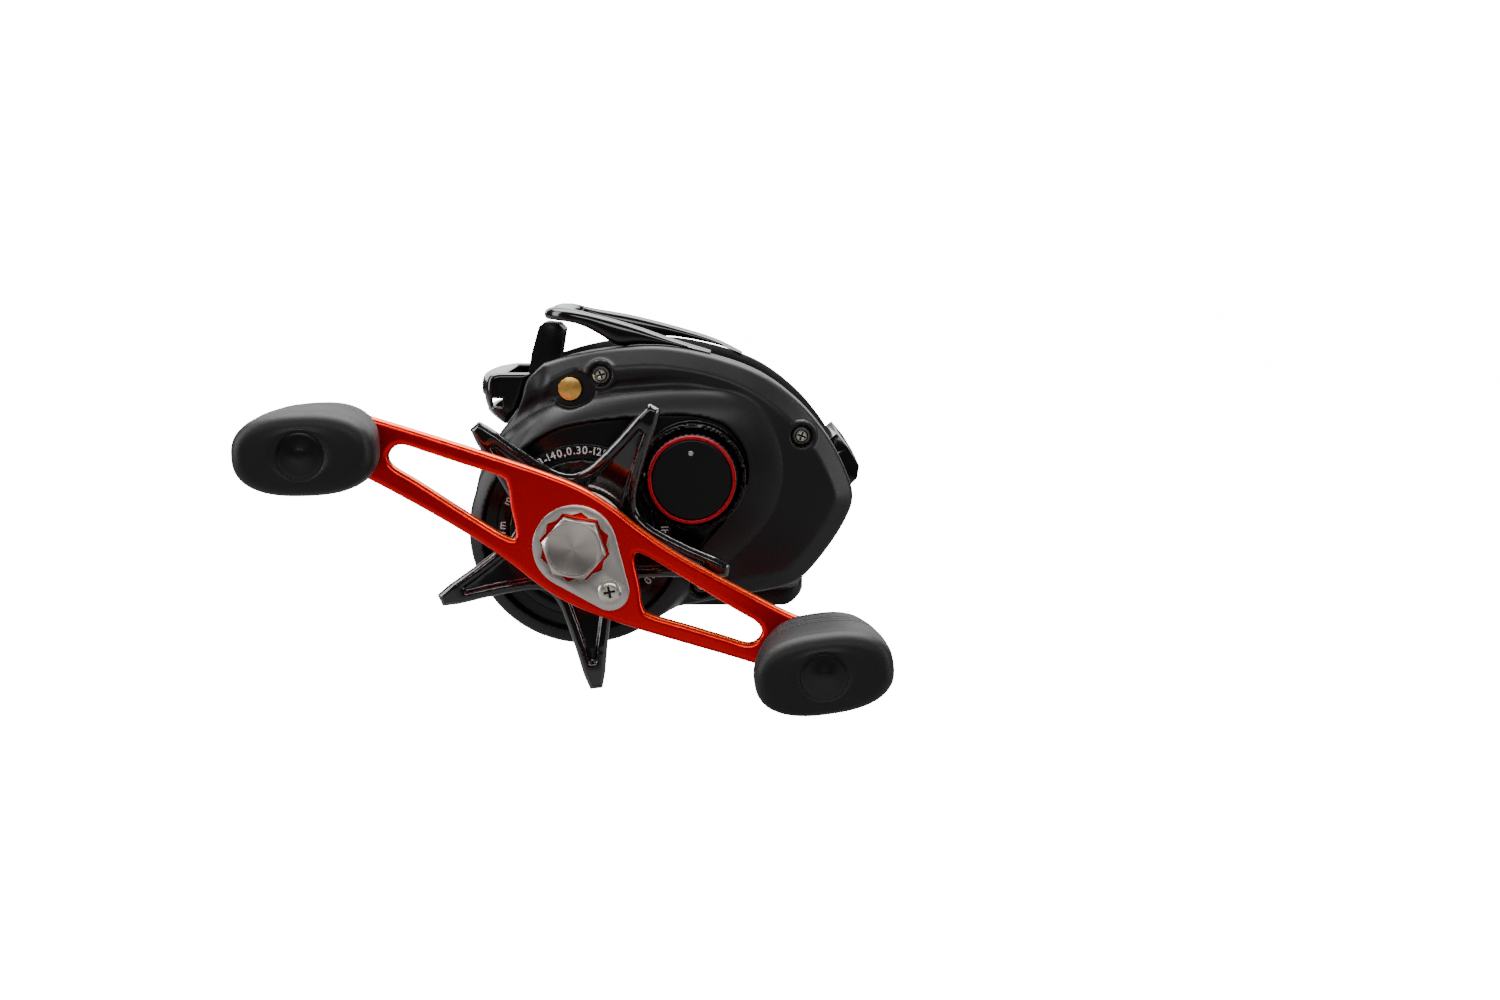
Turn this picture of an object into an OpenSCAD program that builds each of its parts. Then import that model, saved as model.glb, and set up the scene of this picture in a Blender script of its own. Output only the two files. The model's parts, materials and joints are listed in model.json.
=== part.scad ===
// Low-profile baitcasting reel, left-hand retrieve, as an assembly of separate pieces.
// X runs towards the butt of the rod, Z is up, and the handle is on the -Y side.
// The origin lies on the axis of the rod seat, directly below the spool axis.
// Most pieces are drawn in "reel space": x, up and h, where h is the distance
// from the reel's middle plane towards the handle (h = -Y).

/* [Spool] */
// Height of the spool axis above the rod seat axis
spool_up = 32; // [31.8:0.1:32.4]
// Radius of the spool flanges
spool_r = 17; // [16:0.1:17.4]
// Radius of the spool arbor
arbor_r = 10.5; // [9:0.1:12]

/* [Drive] */
// Drive shaft axis, ahead of the spool axis
drive_ahead = 20.5; // [20.3:0.1:20.7]
// Drive shaft axis, below the spool axis
drive_below = 10.4; // [10.2:0.1:10.6]
// Teeth of the main gear
main_teeth = 65; // [65]
// Teeth of the pinion
pinion_teeth = 12; // [12]

/* [Handle] */
// Distance between the two knob axes
handle_span = 95; // [90:1:100]
// Angle of the handle from the rod direction
handle_angle = -23.15; // [-30:0.05:30]
// Length of a knob
knob_len = 23; // [20:0.5:26]
// Tip radius of the star drag wheel
star_tip_r = 28; // [26:0.1:28.5]

/* [Levelwind] */
// Worm shaft axis ahead of the spool axis
worm_ahead = 23; // [22.8:0.1:23.2]
// Worm shaft axis above the rod seat axis
worm_up = 48; // [47.8:0.1:48.2]
// Turns of each thread of the worm
worm_turns = 4; // [3:1:6]

/* [Foot] */
// Radius of the rod seat that the foot sits on
seat_r = 8; // [7.9:0.05:8.1]
// Length of the foot
foot_len = 58; // [56:1:60]
// Thickness of the foot
foot_t = 2; // [1.8:0.1:2.2]

/* [Hidden] */
$fn = 64;

fit = 0.02;          // gap between pieces that don't move on each other
run = 0.06;          // gap between pieces that turn or slide
spool_c = [0, spool_up];
drive_c = [-drive_ahead, spool_up - drive_below];
worm_c = [-worm_ahead, worm_up];
rod_c = [-29.3, 46];
plate_in = 14;       // inner face of both side plates, from the middle plane
plate_out = 17;      // outer face of both side plates
gearbox_r = 21.4;
floor_top = 12.8;
screw_at = [[-17.2, 50.6], [20.3, 39.2], [1.5, 11]];
screw_face = [22.6, 22.7, 22.5];

// ---- curves and solids that several pieces share ----

function spline(a, b, c, d, t) = 0.5 * (2 * b + (c - a) * t + (2 * a - 5 * b + 4 * c - d) * t * t
    + (3 * b - a - 3 * c + d) * t * t * t);
function at(p, i) = p[min(max(i, 0), len(p) - 1)];
function wrap(p, i) = p[(i + len(p)) % len(p)];
function open_curve(p, n) = [for (i = [0 : len(p) - 2], k = [0 : n - 1])
    spline(at(p, i - 1), p[i], p[i + 1], at(p, i + 2), k / n)];
function closed_curve(p, n) = [for (i = [0 : len(p) - 1], k = [0 : n - 1])
    spline(wrap(p, i - 1), p[i], wrap(p, i + 1), wrap(p, i + 2), k / n)];
function arc(c, r, a0, a1, n) = [for (k = [0 : n]) let (a = a0 + (a1 - a0) * k / n) c + r * [cos(a), sin(a)]];
function inset(p, d) = [for (i = [0 : len(p) - 1])
    let (t = wrap(p, i + 1) - wrap(p, i - 1)) p[i] + d * [-t[1], t[0]] / norm(t)];
function ease(t) = let (u = min(max(t, 0), 1)) u * u * (3 - 2 * u);
function level(p, h) = [for (q = p) [q[0], q[1], h]];

module reel_space() rotate([90, 0, 0]) children();
module at_axis(c, h) translate([c[0], c[1], h]) children();

// A solid through rings of the same number of points, each counter-clockwise seen from the next.
module loft(rings) {
    n = len(rings[0]);
    m = len(rings);
    polyhedron(
        points = [for (r = rings) each r],
        faces = concat(
            [[for (i = [0 : n - 1]) i]],
            [[for (i = [n - 1 : -1 : 0]) (m - 1) * n + i]],
            [for (j = [0 : m - 2], i = [0 : n - 1])
                [j * n + i, (j + 1) * n + i, (j + 1) * n + (i + 1) % n]],
            [for (j = [0 : m - 2], i = [0 : n - 1])
                [j * n + i, (j + 1) * n + (i + 1) % n, j * n + (i + 1) % n]]));
}

module tube(ro, ri, h) difference() {
    cylinder(r = ro, h = h);
    translate([0, 0, -1]) cylinder(r = ri, h = h + 2);
}

// Round bar around an axis, from one h to another.
module bar(c, r, h0, h1) at_axis(c, h0) cylinder(r = r, h = h1 - h0);

// Two discs joined by their outer tangents.
module link(p, rp, q, rq) {
    a = heading(p, q);
    b = acos((rp - rq) / norm(q - p));
    polygon(concat(arc(p, rp, a + b, a + 360 - b, 32), arc(q, rq, a - b, a + b, 24)));
}

module sector(ro, ri, a0, a1) {
    big = 2 * ro;
    intersection() {
        difference() {
            circle(r = ro);
            circle(r = ri);
        }
        polygon(concat([[0, 0]], arc([0, 0], big, a0, a1, 4)));
    }
}

// ---- gears ----

pressure = 25;
addendum = 0.85;
dedendum = 1.1;
thinning = 0.08;     // taken from each tooth's width, for backlash
centre_distance = norm(spool_c - drive_c);
main_m = 2 * centre_distance / (main_teeth + pinion_teeth);
wind_m = 0.6;
wind_drive_teeth = 22;
idler_teeth = 28;
worm_teeth = 14;

function involute(a) = tan(a) * 180 / PI - a;
function half_tooth(z, m, r) = let (rp = m * z / 2, rb = rp * cos(pressure))
    90 / z - thinning / rp * 90 / PI + involute(pressure) - involute(acos(min(1, rb / max(r, rb))));
function gear_points(z, m) = let (rp = m * z / 2, root = rp - dedendum * m, tip = rp + addendum * m,
        radii = [root, max(root, rp * cos(pressure)), rp, tip])
    [for (i = [0 : z - 1]) each let (c = 360 * i / z) concat(
        [for (k = [0 : 3]) let (a = c - half_tooth(z, m, radii[k])) radii[k] * [cos(a), sin(a)]],
        [for (k = [3 : -1 : 0]) let (a = c + half_tooth(z, m, radii[k])) radii[k] * [cos(a), sin(a)]])];
// Rotation that puts gear b's gap on gear a's tooth, along the line of centres at angle dir.
function mesh_turn(dir, za, turn_a, zb) = dir + 180 - 360 / zb * (0.5 - (dir - turn_a) * za / 360);
function heading(p, q) = atan2(q[1] - p[1], q[0] - p[0]);
function third_corner(p, q, rp, rq) = let (d = norm(q - p), a = (rp * rp - rq * rq + d * d) / (2 * d),
        s = sqrt(rp * rp - a * a), u = (q - p) / d) p + a * u + s * [-u[1], u[0]];

idler_c = third_corner(drive_c, worm_c, wind_m * (wind_drive_teeth + idler_teeth) / 2,
    wind_m * (worm_teeth + idler_teeth) / 2);
pinion_turn = mesh_turn(heading(drive_c, spool_c), main_teeth, 0, pinion_teeth);
idler_turn = mesh_turn(heading(drive_c, idler_c), wind_drive_teeth, 0, idler_teeth);
worm_turn = mesh_turn(heading(idler_c, worm_c), idler_teeth, idler_turn, worm_teeth);

module gear(z, m, turn, bore, h) rotate(turn) difference() {
    linear_extrude(h) polygon(gear_points(z, m));
    translate([0, 0, -1]) cylinder(r = bore, h = h + 2);
}

// ---- outlines of the body, in x and up ----

body_top = [[10.6, 9], [17.3, 10.3], [21, 12.4], [25.3, 17.5], [28.7, 22.9], [30.1, 27.2], [29, 31.8],
    [25.6, 38.4], [20, 45.2], [12.5, 50.8], [3.5, 54.1], [-6, 55.8], [-15.5, 55.4], [-22.5, 54.2],
    [-28.3, 52.4]];
front_edge = [[-28.3, 52.4], [-31.3, 49.2], [-32.2, 46], [-33.4, 43.4], [-36, 40.2]];
gearbox_bottom = arc(drive_c, gearbox_r, 160, 300, 40);
cover_outline = concat(
    open_curve(front_edge, 4),
    open_curve([front_edge[4], [-39.3, 35], gearbox_bottom[0]], 5),
    gearbox_bottom,
    open_curve([gearbox_bottom[40], [-4.5, 6], [3, 7.6], body_top[0]], 4),
    open_curve(body_top, 5),
    [body_top[14]]);
palm_outline = concat(
    open_curve([front_edge[0], [-32, 48.6], [-34.6, 42], [-34.2, 32.5], [-30, 22], [-23, 13.6], [-13, 9.4],
        body_top[0]], 6),
    open_curve(body_top, 5),
    [body_top[14]]);

function clean(p) = [for (i = [0 : len(p) - 1]) if (norm(p[i] - wrap(p, i - 1)) > 0.05) p[i]];
cover_line = clean(cover_outline);
palm_line = clean(palm_outline);

// ---- frame ----

module side_plate(line, h0, h1) translate([0, 0, h0]) linear_extrude(h1 - h0) polygon(line);

module thumb_slot() sector(26.9, 23.9, -20, 7);

module frame() color("dimgray") {
    difference() {
        union() {
            reel_space() {
                side_plate(cover_line, plate_in, plate_out);
                side_plate(palm_line, -plate_out, -plate_in);
                // wall below and behind the spool, and the front wall
                translate([0, spool_up, -plate_in - 1]) linear_extrude(2 * plate_in + 2) {
                    sector(20.2, 18.2, -118, -24);
                    sector(20.2, 18.2, 163, 214);
                }
            }
            // floor between the plates, and the block that the foot is screwed to
            translate([-24, -plate_in - 1, floor_top - 2.6]) cube([38, 2 * plate_in + 2, 2.6]);
            translate([-24, -8, 8]) cube([36, 16, 3]);
        }
        reel_space() {
            // spool opening on the palm side
            bar(spool_c, 18.2, -plate_out - 1, -plate_in + 1);
            bar(spool_c, 18.2, -plate_in, plate_in);
            bar(spool_c, 5, plate_in - 1, plate_out + 1);
            bar(drive_c, 4, plate_in - 1, plate_out + 1);
            for (s = [-1, 1]) bar(worm_c, 2.6, s * 15.5 - 2.5, s * 15.5 + 2.5);
            for (s = [-1, 1]) bar(rod_c, 1.25 + fit, s * 15 - 2.5, s * 15 + 1.5);
            bar(idler_c, 1.4 + fit, plate_in + 1, plate_out + 1);
            for (p = screw_at) bar(p, 0.8 + fit, plate_in - 1, plate_out + 1);
            for (s = [-1, 1]) bar(spool_c + s * post_offset, 0.9 + fit, plate_in + 1, plate_out + 1);
            at_axis(spool_c, plate_in - 1) linear_extrude(5) thumb_slot();
            for (p = palm_screw_at) bar(p, 0.8 + fit, -plate_out - 1, -plate_in + 1);
            bar(lock_c, 1.5 + run, -plate_out - 1, -plate_in + 1);
        }
        rotate([0, 90, 0]) translate([0, 0, -60]) cylinder(r = seat_r + foot_t + fit, h = 120);
        for (x = foot_screw_x) translate([x, 0, seat_r]) cylinder(r = 1.1 + fit, h = 4.2);
    }
}

foot_mid = -8;
foot_screw_x = [-19, -6, 6];

module reel_foot() color("dimgray") difference() {
    intersection() {
        rotate([0, 90, 0]) translate([0, 0, foot_mid - foot_len / 2])
            cylinder(r = seat_r + foot_t, h = foot_len);
        // plan of the foot: straight sides with rounded ends
        translate([foot_mid, 0, 3]) linear_extrude(20) {
            square([foot_len - 8, 13.4], center = true);
            for (s = [-1, 1]) {
                translate([s * (foot_len / 2 - 4), 0]) square([8, 6], center = true);
                for (v = [-1, 1]) translate([s * (foot_len / 2 - 4), v * 2.7]) circle(r = 4);
            }
        }
    }
    rotate([0, 90, 0]) translate([0, 0, -60]) cylinder(r = seat_r, h = 120);
    for (x = foot_screw_x) translate([x, 0, 0]) cylinder(r = 1.1 + fit, h = 20);
    for (s = [-1, 1]) translate([foot_mid + s * 26.3, 0, 0]) cylinder(r = 0.7, h = 20);
}

module foot_screws() color("silver") for (x = foot_screw_x)
    translate([x, 0, seat_r + 0.25]) cylinder(r = 1.1, h = 3.9);

// ---- front cowl: the hollow nose ahead of the side plates ----

cowl_half = 16.8;
function cowl_front(y) = -41.5 + 2.6 * pow(abs(y) / cowl_half, 2.4);
// side profile with the skin set in by t; the inner one runs out at the rear
function cowl_profile(t) = let (f = -41.5 + t, top = 50.7 - t, back = t > 0 ? 3 : -0.12) concat(
    open_curve([[f + 2.2, top], [f + 0.6, top - 0.7], [f, top - 2.4], [f + 0.1, 45.5], [f + 1, 43.2 + t]], 3),
    [[f + 2.6, 41.6 + t], [-36.3 + back, 39.9 + t]],
    [for (p = [[-33.5, 43.4], [-32.3, 46], [-31.4, 49.2], [-30.1, 50.7]]) [p[0] + back, min(p[1], top)]]);
module cowl_body(t, reach) intersection() {
    rotate([90, 0, 0]) linear_extrude(2 * reach, center = true) polygon(cowl_profile(t));
    translate([0, 0, 30]) linear_extrude(30) polygon(concat([[-20, -20], [-20, 20]],
        [for (k = [8 : -1 : -8]) let (y = reach * k / 8) [cowl_front(y) + t, y]]));
}

module front_cowl() color("#2b292c") difference() {
    cowl_body(0, cowl_half);
    cowl_body(1.3, 15);
    // notch in the top for the line guide, open to the rear
    translate([0, 0, 47]) linear_extrude(8) {
        translate([-33, 0]) square([3, 27], center = true);
        translate([-28, 0]) square([8, 27], center = true);
        for (s = [-1, 1]) translate([-34.4, s * 12]) circle(r = 1.5);
        translate([-34.6, 0]) square([2.6, 24], center = true);
    }
    // the palm side plate, which reaches further forward than the other
    reel_space() side_plate(inset(palm_line, -0.15), -plate_out - 1, -plate_in + 0.1);
    // window across the front, and a short slot through the handle side in line with it
    translate([-46, -13.2, 43.6]) cube([9, 26.4, 2.5]);
    translate([-38.3, -18, 44.05]) cube([2.1, 5, 1.7]);
}

// ---- top hood: the bar over the line guide, and its two side rails ----

// path of the hood from the handle side round the front to the palm side: x, y, top, underside
hood_path = [[3.2, -15.7, 54.9, 54.35], [-4, -15.8, 57.1, 55.75], [-10, -15.9, 59.2, 56.05],
    [-14.2, -16, 60.5, 55.75], [-17.6, -16, 61.4, 57.8], [-21.3, -15.9, 62.3, 59.7],
    [-24.8, -14.6, 62.9, 60.4], [-26.3, -11, 62.9, 60.5], [-26.6, 0, 62.7, 60.5], [-26.3, 11, 62.9, 60.6],
    [-24.8, 14.6, 62.6, 60.4], [-21.5, 15.9, 61.8, 59.8], [-17.2, 16, 61, 57.6], [-12.5, 16, 60.1, 55.9],
    [-5, 15.9, 58.2, 55.95],
    [3.5, 15.7, 55.6, 54.4], [9, 15.5, 52.9, 52.45]];
hood_w = 2.3;
function hood_ring(p, i) = let (t = at(p, i + 1) - at(p, i - 1), n = [-t[1], t[0], 0] / norm([t[0], t[1]]),
        top = [p[i][0], p[i][1], p[i][2]], low = [p[i][0], p[i][1], p[i][3]])
    [low - hood_w * n, low + hood_w * n, top + hood_w * n - [0, 0, 0.15],
        top + 0.5 * hood_w * n, top - 0.5 * hood_w * n, top - hood_w * n - [0, 0, 0.15]];
module top_hood() color("#2b292c") {
    path = open_curve(hood_path, 3);
    loft([for (i = [0 : len(path) - 1]) hood_ring(path, i)]);
    // tabs that locate the hood between the side plates
    for (s = [-1, 1]) translate([-16, s * 13.4 - 0.55, 53]) cube([6, 1.1, 4.5]);
}

// ---- side cover on the handle side ----

collar_line = closed_curve([[-36, 39.6], [-39.9, 33.2], [-42, 25], [-41.2, 16.2], [-36.3, 7.6], [-28, 1.9],
    [-18.5, 0.9], [-9.5, 4], [-2.2, 9.6], [3.6, 16.4], [9.6, 22.6], [13.2, 29.8], [13.2, 37], [9.6, 43.2],
    [3.4, 46.8], [-6, 47.7], [-17, 46.7], [-28, 43.6]], 5);
cover_mid = [-2, 31];
cover_h = 25;
cover_dome = 140;
// Outline of the cover, from a flat face out to a shallow dome of radius r.
module cover_shell(line, h, r) intersection() {
    translate([0, 0, h]) linear_extrude(30 - h) polygon(line);
    at_axis(cover_mid, cover_h - cover_dome) sphere(r = r, $fn = 200);
}
module side_cover_body() {
    cover_shell(cover_line, plate_out + 0.03, cover_dome);
    // raised collar round the gearbox and the cast control knob
    translate([0, 0, 19]) linear_extrude(7) polygon(collar_line);
    translate([0, 0, 19]) linear_extrude(7.6) polygon(inset(collar_line, 0.9));
}

module side_cover_cavity() {
    cover_shell(inset(cover_line, 1.5), plate_out - 1, cover_dome - 1.8);
}

module side_cover() color("#333135") reel_space() {
    difference() {
        union() {
            difference() {
                side_cover_body();
                side_cover_cavity();
                // recess inside the collar
                translate([0, 0, 24.8]) linear_extrude(5) polygon(inset(collar_line, 4.2));
            }
            bar(drive_c, 9, 22.2, 30.2);
            bar(drive_c, 13.5, 23.4, 27.2);
            bar(spool_c, 6.55, 22, 30.2);
            at_axis(spool_c, 23) tube(9.9, 9.1, 4.6);
            for (p = screw_at) bar(p, 2.8, plate_out + 0.03, 21.9);
            bar(worm_c, 4.0, 20.35, 22.2);
        }
        // room for the gear train, the spring washers and the roller clutch
        bar(drive_c, 20.35, plate_out - 1, 23.4);
        bar(drive_c, 6.8, 23, 24.2);
        bar(idler_c, 9.3, plate_out - 1, 20.35);
        bar(drive_c, 7.02, 24.6, 30.3);
        bar(drive_c, 5.2, 22, 31);
        bar(spool_c, 4.9, 18, 27.2);
        bar(spool_c, 4.5 + fit, 27, 31);
        for (k = [0 : 2]) bar(screw_at[k], 0.8 + fit, plate_out - 1, 27);
        for (k = [0 : 2]) bar(screw_at[k], 2.12, screw_face[k] - 1.3, 30);
        bar(worm_c, 3.35, 21.3, 27);
        bar(worm_c, 2.15 + fit, 19, 27);
        bar(worm_c, 4.9, 18.2, 20.3);
    }
}

module side_cover_screws() color("silver") reel_space() for (k = [0 : 2]) difference() {
    union() {
        bar(screw_at[k], 0.8, 14.6, screw_face[k] - 1.2);
        bar(screw_at[k], 1.55, screw_face[k] - 1.28, screw_face[k] - 0.6);
        at_axis(screw_at[k], screw_face[k] - 0.6) cylinder(r1 = 1.55, r2 = 0.95, h = 0.45);
    }
    at_axis(screw_at[k], screw_face[k] - 0.85) rotate(20 + 50 * k) linear_extrude(2) {
        square([1.7, 0.36], center = true);
        square([0.36, 1.7], center = true);
    }
}

module capacity_ring() color("#0c0c0d") reel_space() at_axis(drive_c, 24.82) difference() {
    union() {
        cylinder(r = 16.4, h = 0.35);
        cylinder(r1 = 16.4, r2 = 16, h = 0.6);
    }
    translate([0, 0, -1]) cylinder(r = 13.55, h = 3);
    translate([spool_c[0] - drive_c[0], spool_c[1] - drive_c[1], -1]) cylinder(r = 10.2, h = 3);
}

module oil_port_bush() color("goldenrod") reel_space() difference() {
    bar(worm_c, 2.15, 20.35, 22.2);
    bar(worm_c, 1.2 + run, 20, 21.5);
}

// ---- bearings and small fixed pieces ----

module ball_bearing(ro, ri, h) {
    // outer race, inner race, shield and balls as one bearing unit
    difference() {
        cylinder(r = ro, h = h);
        translate([0, 0, -1]) cylinder(r = ri, h = h + 2);
        for (z = [-0.01, h - 0.25]) translate([0, 0, z]) tube((ro + ri) / 2 + 0.8, (ro + ri) / 2 - 0.6, 0.26);
    }
}

module drive_shaft_bearing() color("silver") reel_space()
    at_axis(drive_c, 14.2) ball_bearing(4 - fit, 2 + fit, 2.6);
module pinion_bearing() color("silver") reel_space()
    at_axis(spool_c, 14.2) ball_bearing(5 - fit, 3, 2.6);
module spool_bearing_handle() color("silver") reel_space()
    at_axis(spool_c, 27.3) ball_bearing(4.5, 1.5 + fit, 2.3);
module spool_bearing_palm() color("silver") reel_space()
    at_axis(spool_c, -19.4) ball_bearing(4.5, 1.5 + fit, 2.5);

module roller_clutch() color("silver") reel_space() at_axis(drive_c, 24.7) difference() {
    cylinder(r = 7, h = 5.3);
    translate([0, 0, -1]) cylinder(r = 5, h = 8);
    for (k = [0 : 7]) rotate(k * 45) translate([5.15, 0, 0.6]) cylinder(r = 0.55, h = 6);
}

module worm_bushings() color("#e8e4d8") reel_space() for (s = [-1, 1])
    at_axis(worm_c, s * 15.5 - 1.45) tube(2.6 - fit, 1.5 + run, 2.9);

module guide_rod() color("silver") reel_space() bar(rod_c, 1.25, -15.8, 15.8);

module idler_pin() color("silver") reel_space() {
    bar(idler_c, 1.4, 15.2, 20.12);
    bar(idler_c, 2.4, 17.02, 18.6);
}

post_dir = (spool_c - drive_c) / centre_distance;
post_offset = 8.5 * [-post_dir[1], post_dir[0]];
module yoke_posts() color("silver") reel_space() for (s = [-1, 1])
    bar(spool_c + s * post_offset, 0.9, 15.2, 22.4);

// Coil spring around the h axis: wire radius w, coil radius r, height h.
module coil(r, w, h, turns) {
    steps = 16 * turns;
    loft([for (k = [0 : steps]) let (a = 360 * turns * k / steps, z = w + (h - 2 * w) * k / steps)
        [for (j = [0 : 5]) let (b = -60 * j, d = r + w * cos(b)) [d * cos(a), d * sin(a), z + w * sin(b)]]]);
}
module yoke_springs() color("silver") reel_space() for (s = [-1, 1])
    at_axis(spool_c + s * post_offset, 19.06) coil(1.35, 0.2, 3.2, 4);

// ---- palm side ----

lock_c = [21.5, 24];
palm_screw_at = [[-27.5, 43], [-22, 17.5], [12, 14]];
slot_span = 104;     // degrees that each peg slot of the brake dial covers
palm_mid = [-2, 31];
palm_h = 24.9;

// Outline of the palm side, from a flat face out to a shallow dome of radius r.
module palm_shell(line, h, r) intersection() {
    translate([0, 0, -30]) linear_extrude(30 - h) polygon(line);
    at_axis(palm_mid, 58 - palm_h) sphere(r = r, $fn = 128);
}
module palm_plate() color("#333135") reel_space() difference() {
    union() {
        difference() {
            palm_shell(palm_line, plate_out + 0.03, 58);
            palm_shell(inset(palm_line, 1.5), plate_out - 1, 56.2);
        }
        bar(spool_c, 6, -21.5, -16.6);
        bar(spool_c, 11.6, -23.6, -20.6);
        for (p = palm_screw_at) bar(p, 2, -20.8, -plate_out - 0.03);
        bar(lock_c, 4, -21.4, -plate_out - 0.03);
    }
    bar(spool_c, 4.5 + fit, -19.5, -16);
    bar(spool_c, 1.7, -20.2, -19);
    // recess for the brake dial, and the slots for its three pegs
    bar(spool_c, 10.2, -30, -22.1);
    at_axis(spool_c, -23) for (k = [0 : 2])
        rotate(120 * k - 2) linear_extrude(4) sector(8.9, 7.1, 0, slot_span);
    for (p = palm_screw_at) bar(p, 0.8 + fit, -30, -16);
    for (p = palm_screw_at) bar(p, 1.75, -30, -20.6);
    bar(lock_c, 1.5 + run, -30, -16);
}

module palm_plate_screws() color("silver") reel_space() for (p = palm_screw_at) difference() {
    union() {
        bar(p, 0.8, -20.7, -14.6);
        bar(p, 1.6, -21.2, -20.62);
    }
    at_axis(p, -21.3) linear_extrude(0.4) {
        square([1.9, 0.4], center = true);
        square([0.4, 1.9], center = true);
    }
}

module palm_lock() color("#1b1b1d") reel_space() difference() {
    union() {
        bar(lock_c, 3.2, -23.2, -21.45);
        bar(lock_c, 1.5, -21.5, -14.3);
    }
    at_axis(lock_c, -23.3) linear_extrude(0.9) square([7, 0.9], center = true);
}

module brake_dial() color("#1b1b1d") reel_space() {
    at_axis(spool_c, 0) difference() {
        union() {
            translate([0, 0, -24.8]) cylinder(r = 10, h = 2.66);
            for (k = [0 : 29]) rotate(12 * k) translate([9.95, 0, -24.6]) cylinder(r = 0.22, h = 2.3);
        }
        // finger bar across the dial
        for (s = [-1, 1]) translate([0, s * 5, -25]) linear_extrude(1.2) intersection() {
            circle(r = 7.6);
            square([16, 6.4], center = true);
        }
    }
    // pegs that turn the magnet ring
    at_axis(spool_c, 0) for (k = [0 : 2])
        rotate(120 * k + 5) translate([8, 0, -22.3]) cylinder(r = 0.7, h = 4.5);
}

module magnet_ring() color("#e8e4d8") reel_space() at_axis(spool_c, -17.8) difference() {
    tube(15.2, 6.3, 1.8);
    for (k = [0 : 7]) rotate(45 * k) translate([12.4, 0, 0.5]) cylinder(r = 2 + fit, h = 3);
    for (k = [0 : 2]) rotate(120 * k + 5) translate([8, 0, -1]) cylinder(r = 0.7 + fit, h = 4);
}
module brake_magnets() color("silver") reel_space() for (k = [0 : 7])
    at_axis(spool_c, -17.28) rotate(45 * k) translate([12.4, 0, 0]) cylinder(r = 2, h = 1.4);

// ---- drive shaft and what turns with it ----

module drive_shaft() color("silver") reel_space() {
    bar(drive_c, 2, 13.8, 17.3);
    bar(drive_c, 5, 17.3, 17.7);
    bar(drive_c, 3.4, 17.7, 31.5);
    difference() {
        bar(drive_c, 2.9, 31.5, 47.4);
        // two flats that drive the handle
        for (s = [-1, 1])
            at_axis(drive_c, 38) rotate(handle_angle) translate([-4, s * 3.4 - 1, 0]) cube([8, 2, 12]);
    }
}

module ratchet_wheel() color("silver") reel_space() at_axis(drive_c, 17.72) difference() {
    linear_extrude(0.95) polygon([for (k = [0 : 11], q = [[8, 0], [6.6, 9], [6.6, 24]])
        let (a = 30 * k + q[1]) q[0] * [cos(a), sin(a)]]);
    translate([0, 0, -1]) cylinder(r = 3.4 + fit, h = 3);
}

module levelwind_drive_gear() color("#d9d4c4") reel_space()
    at_axis(drive_c, 18.7) gear(wind_drive_teeth, wind_m, 0, 3.4 + fit, 1.35);

module main_gear() color("goldenrod") reel_space() at_axis(drive_c, 20.2) difference() {
    linear_extrude(2.5) polygon(gear_points(main_teeth, main_m));
    translate([0, 0, -1]) cylinder(r = 3.4 + run, h = 5);
    // recess for the drag washer, and a hub that stays below the plate
    translate([0, 0, 1.2]) tube(15.2, 5, 3);
    translate([0, 0, 1.8]) cylinder(r = 5.1, h = 2);
    for (k = [0 : 5]) rotate(60 * k + 30) translate([10.2, 0, -1]) cylinder(r = 2.4, h = 3);
}

module drag_washer() color("#3a3a3a") reel_space() at_axis(drive_c, 21.42) tube(15, 5.1, 0.6);

module drag_plate() color("silver") reel_space() at_axis(drive_c, 22.04) difference() {
    cylinder(r = 14.8, h = 0.7);
    translate([0, 0, -1]) cylinder(r = 3.4 + fit, h = 3);
    for (k = [0 : 7]) rotate(45 * k) translate([10, 0, -1]) cylinder(r = 1.6, h = 3);
}

// two cupped washers, set back to back
module spring_washers() color("silver") reel_space() for (k = [0, 1])
    at_axis(drive_c, 22.78 + 0.62 * k) rotate_extrude() polygon(
        k == 0 ? [[3.45, 0], [6.6, 0.3], [6.6, 0.6], [3.45, 0.3]]
            : [[3.45, 0.3], [6.6, 0], [6.6, 0.3], [3.45, 0.6]]);

module clutch_sleeve() color("silver") reel_space() at_axis(drive_c, 24.1) tube(4.9, 3.4 + fit, 7.3);

module click_washer() color("silver") reel_space() at_axis(drive_c, 37.1) tube(9.3, 2.9 + run, 0.8);

module handle_spacer() color("#1b1b1d") reel_space() at_axis(drive_c, 37.95) tube(5.4, 2.9 + run, 3.6);

// ---- handle ----

handle_h = 41.6;
handle_t = 3;
half_span = handle_span / 2;
half_edge = [[-53.1, 0.4], [-51.4, 4.6], [-47.3, 6.2], [-42, 6.9], [-33, 7.85], [-22, 9], [-11, 9.95],
    [-3, 10.1], [3.4, 9.1], [9.3, 7.5], [17.6, 5.8], [29.8, 4.4], [41.7, 3.6], [47.6, 5.1], [51.6, 3.4]];
handle_line = closed_curve(concat([for (q = half_edge) q], [for (q = half_edge) -q]), 5);
window_line = closed_curve([[-36.9, 2.0], [-35.6, 4.3], [-31, 4.9], [-24.6, 5.5], [-17.2, 6.2], [-15.2, 5.2],
    [-13.2, 1.9], [-10.6, -2.0], [-11.6, -3.3], [-19.6, -2.2], [-30, -0.5], [-35.4, 0.3]], 4);

module in_handle(h) at_axis(drive_c, h) rotate(handle_angle) children();

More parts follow.
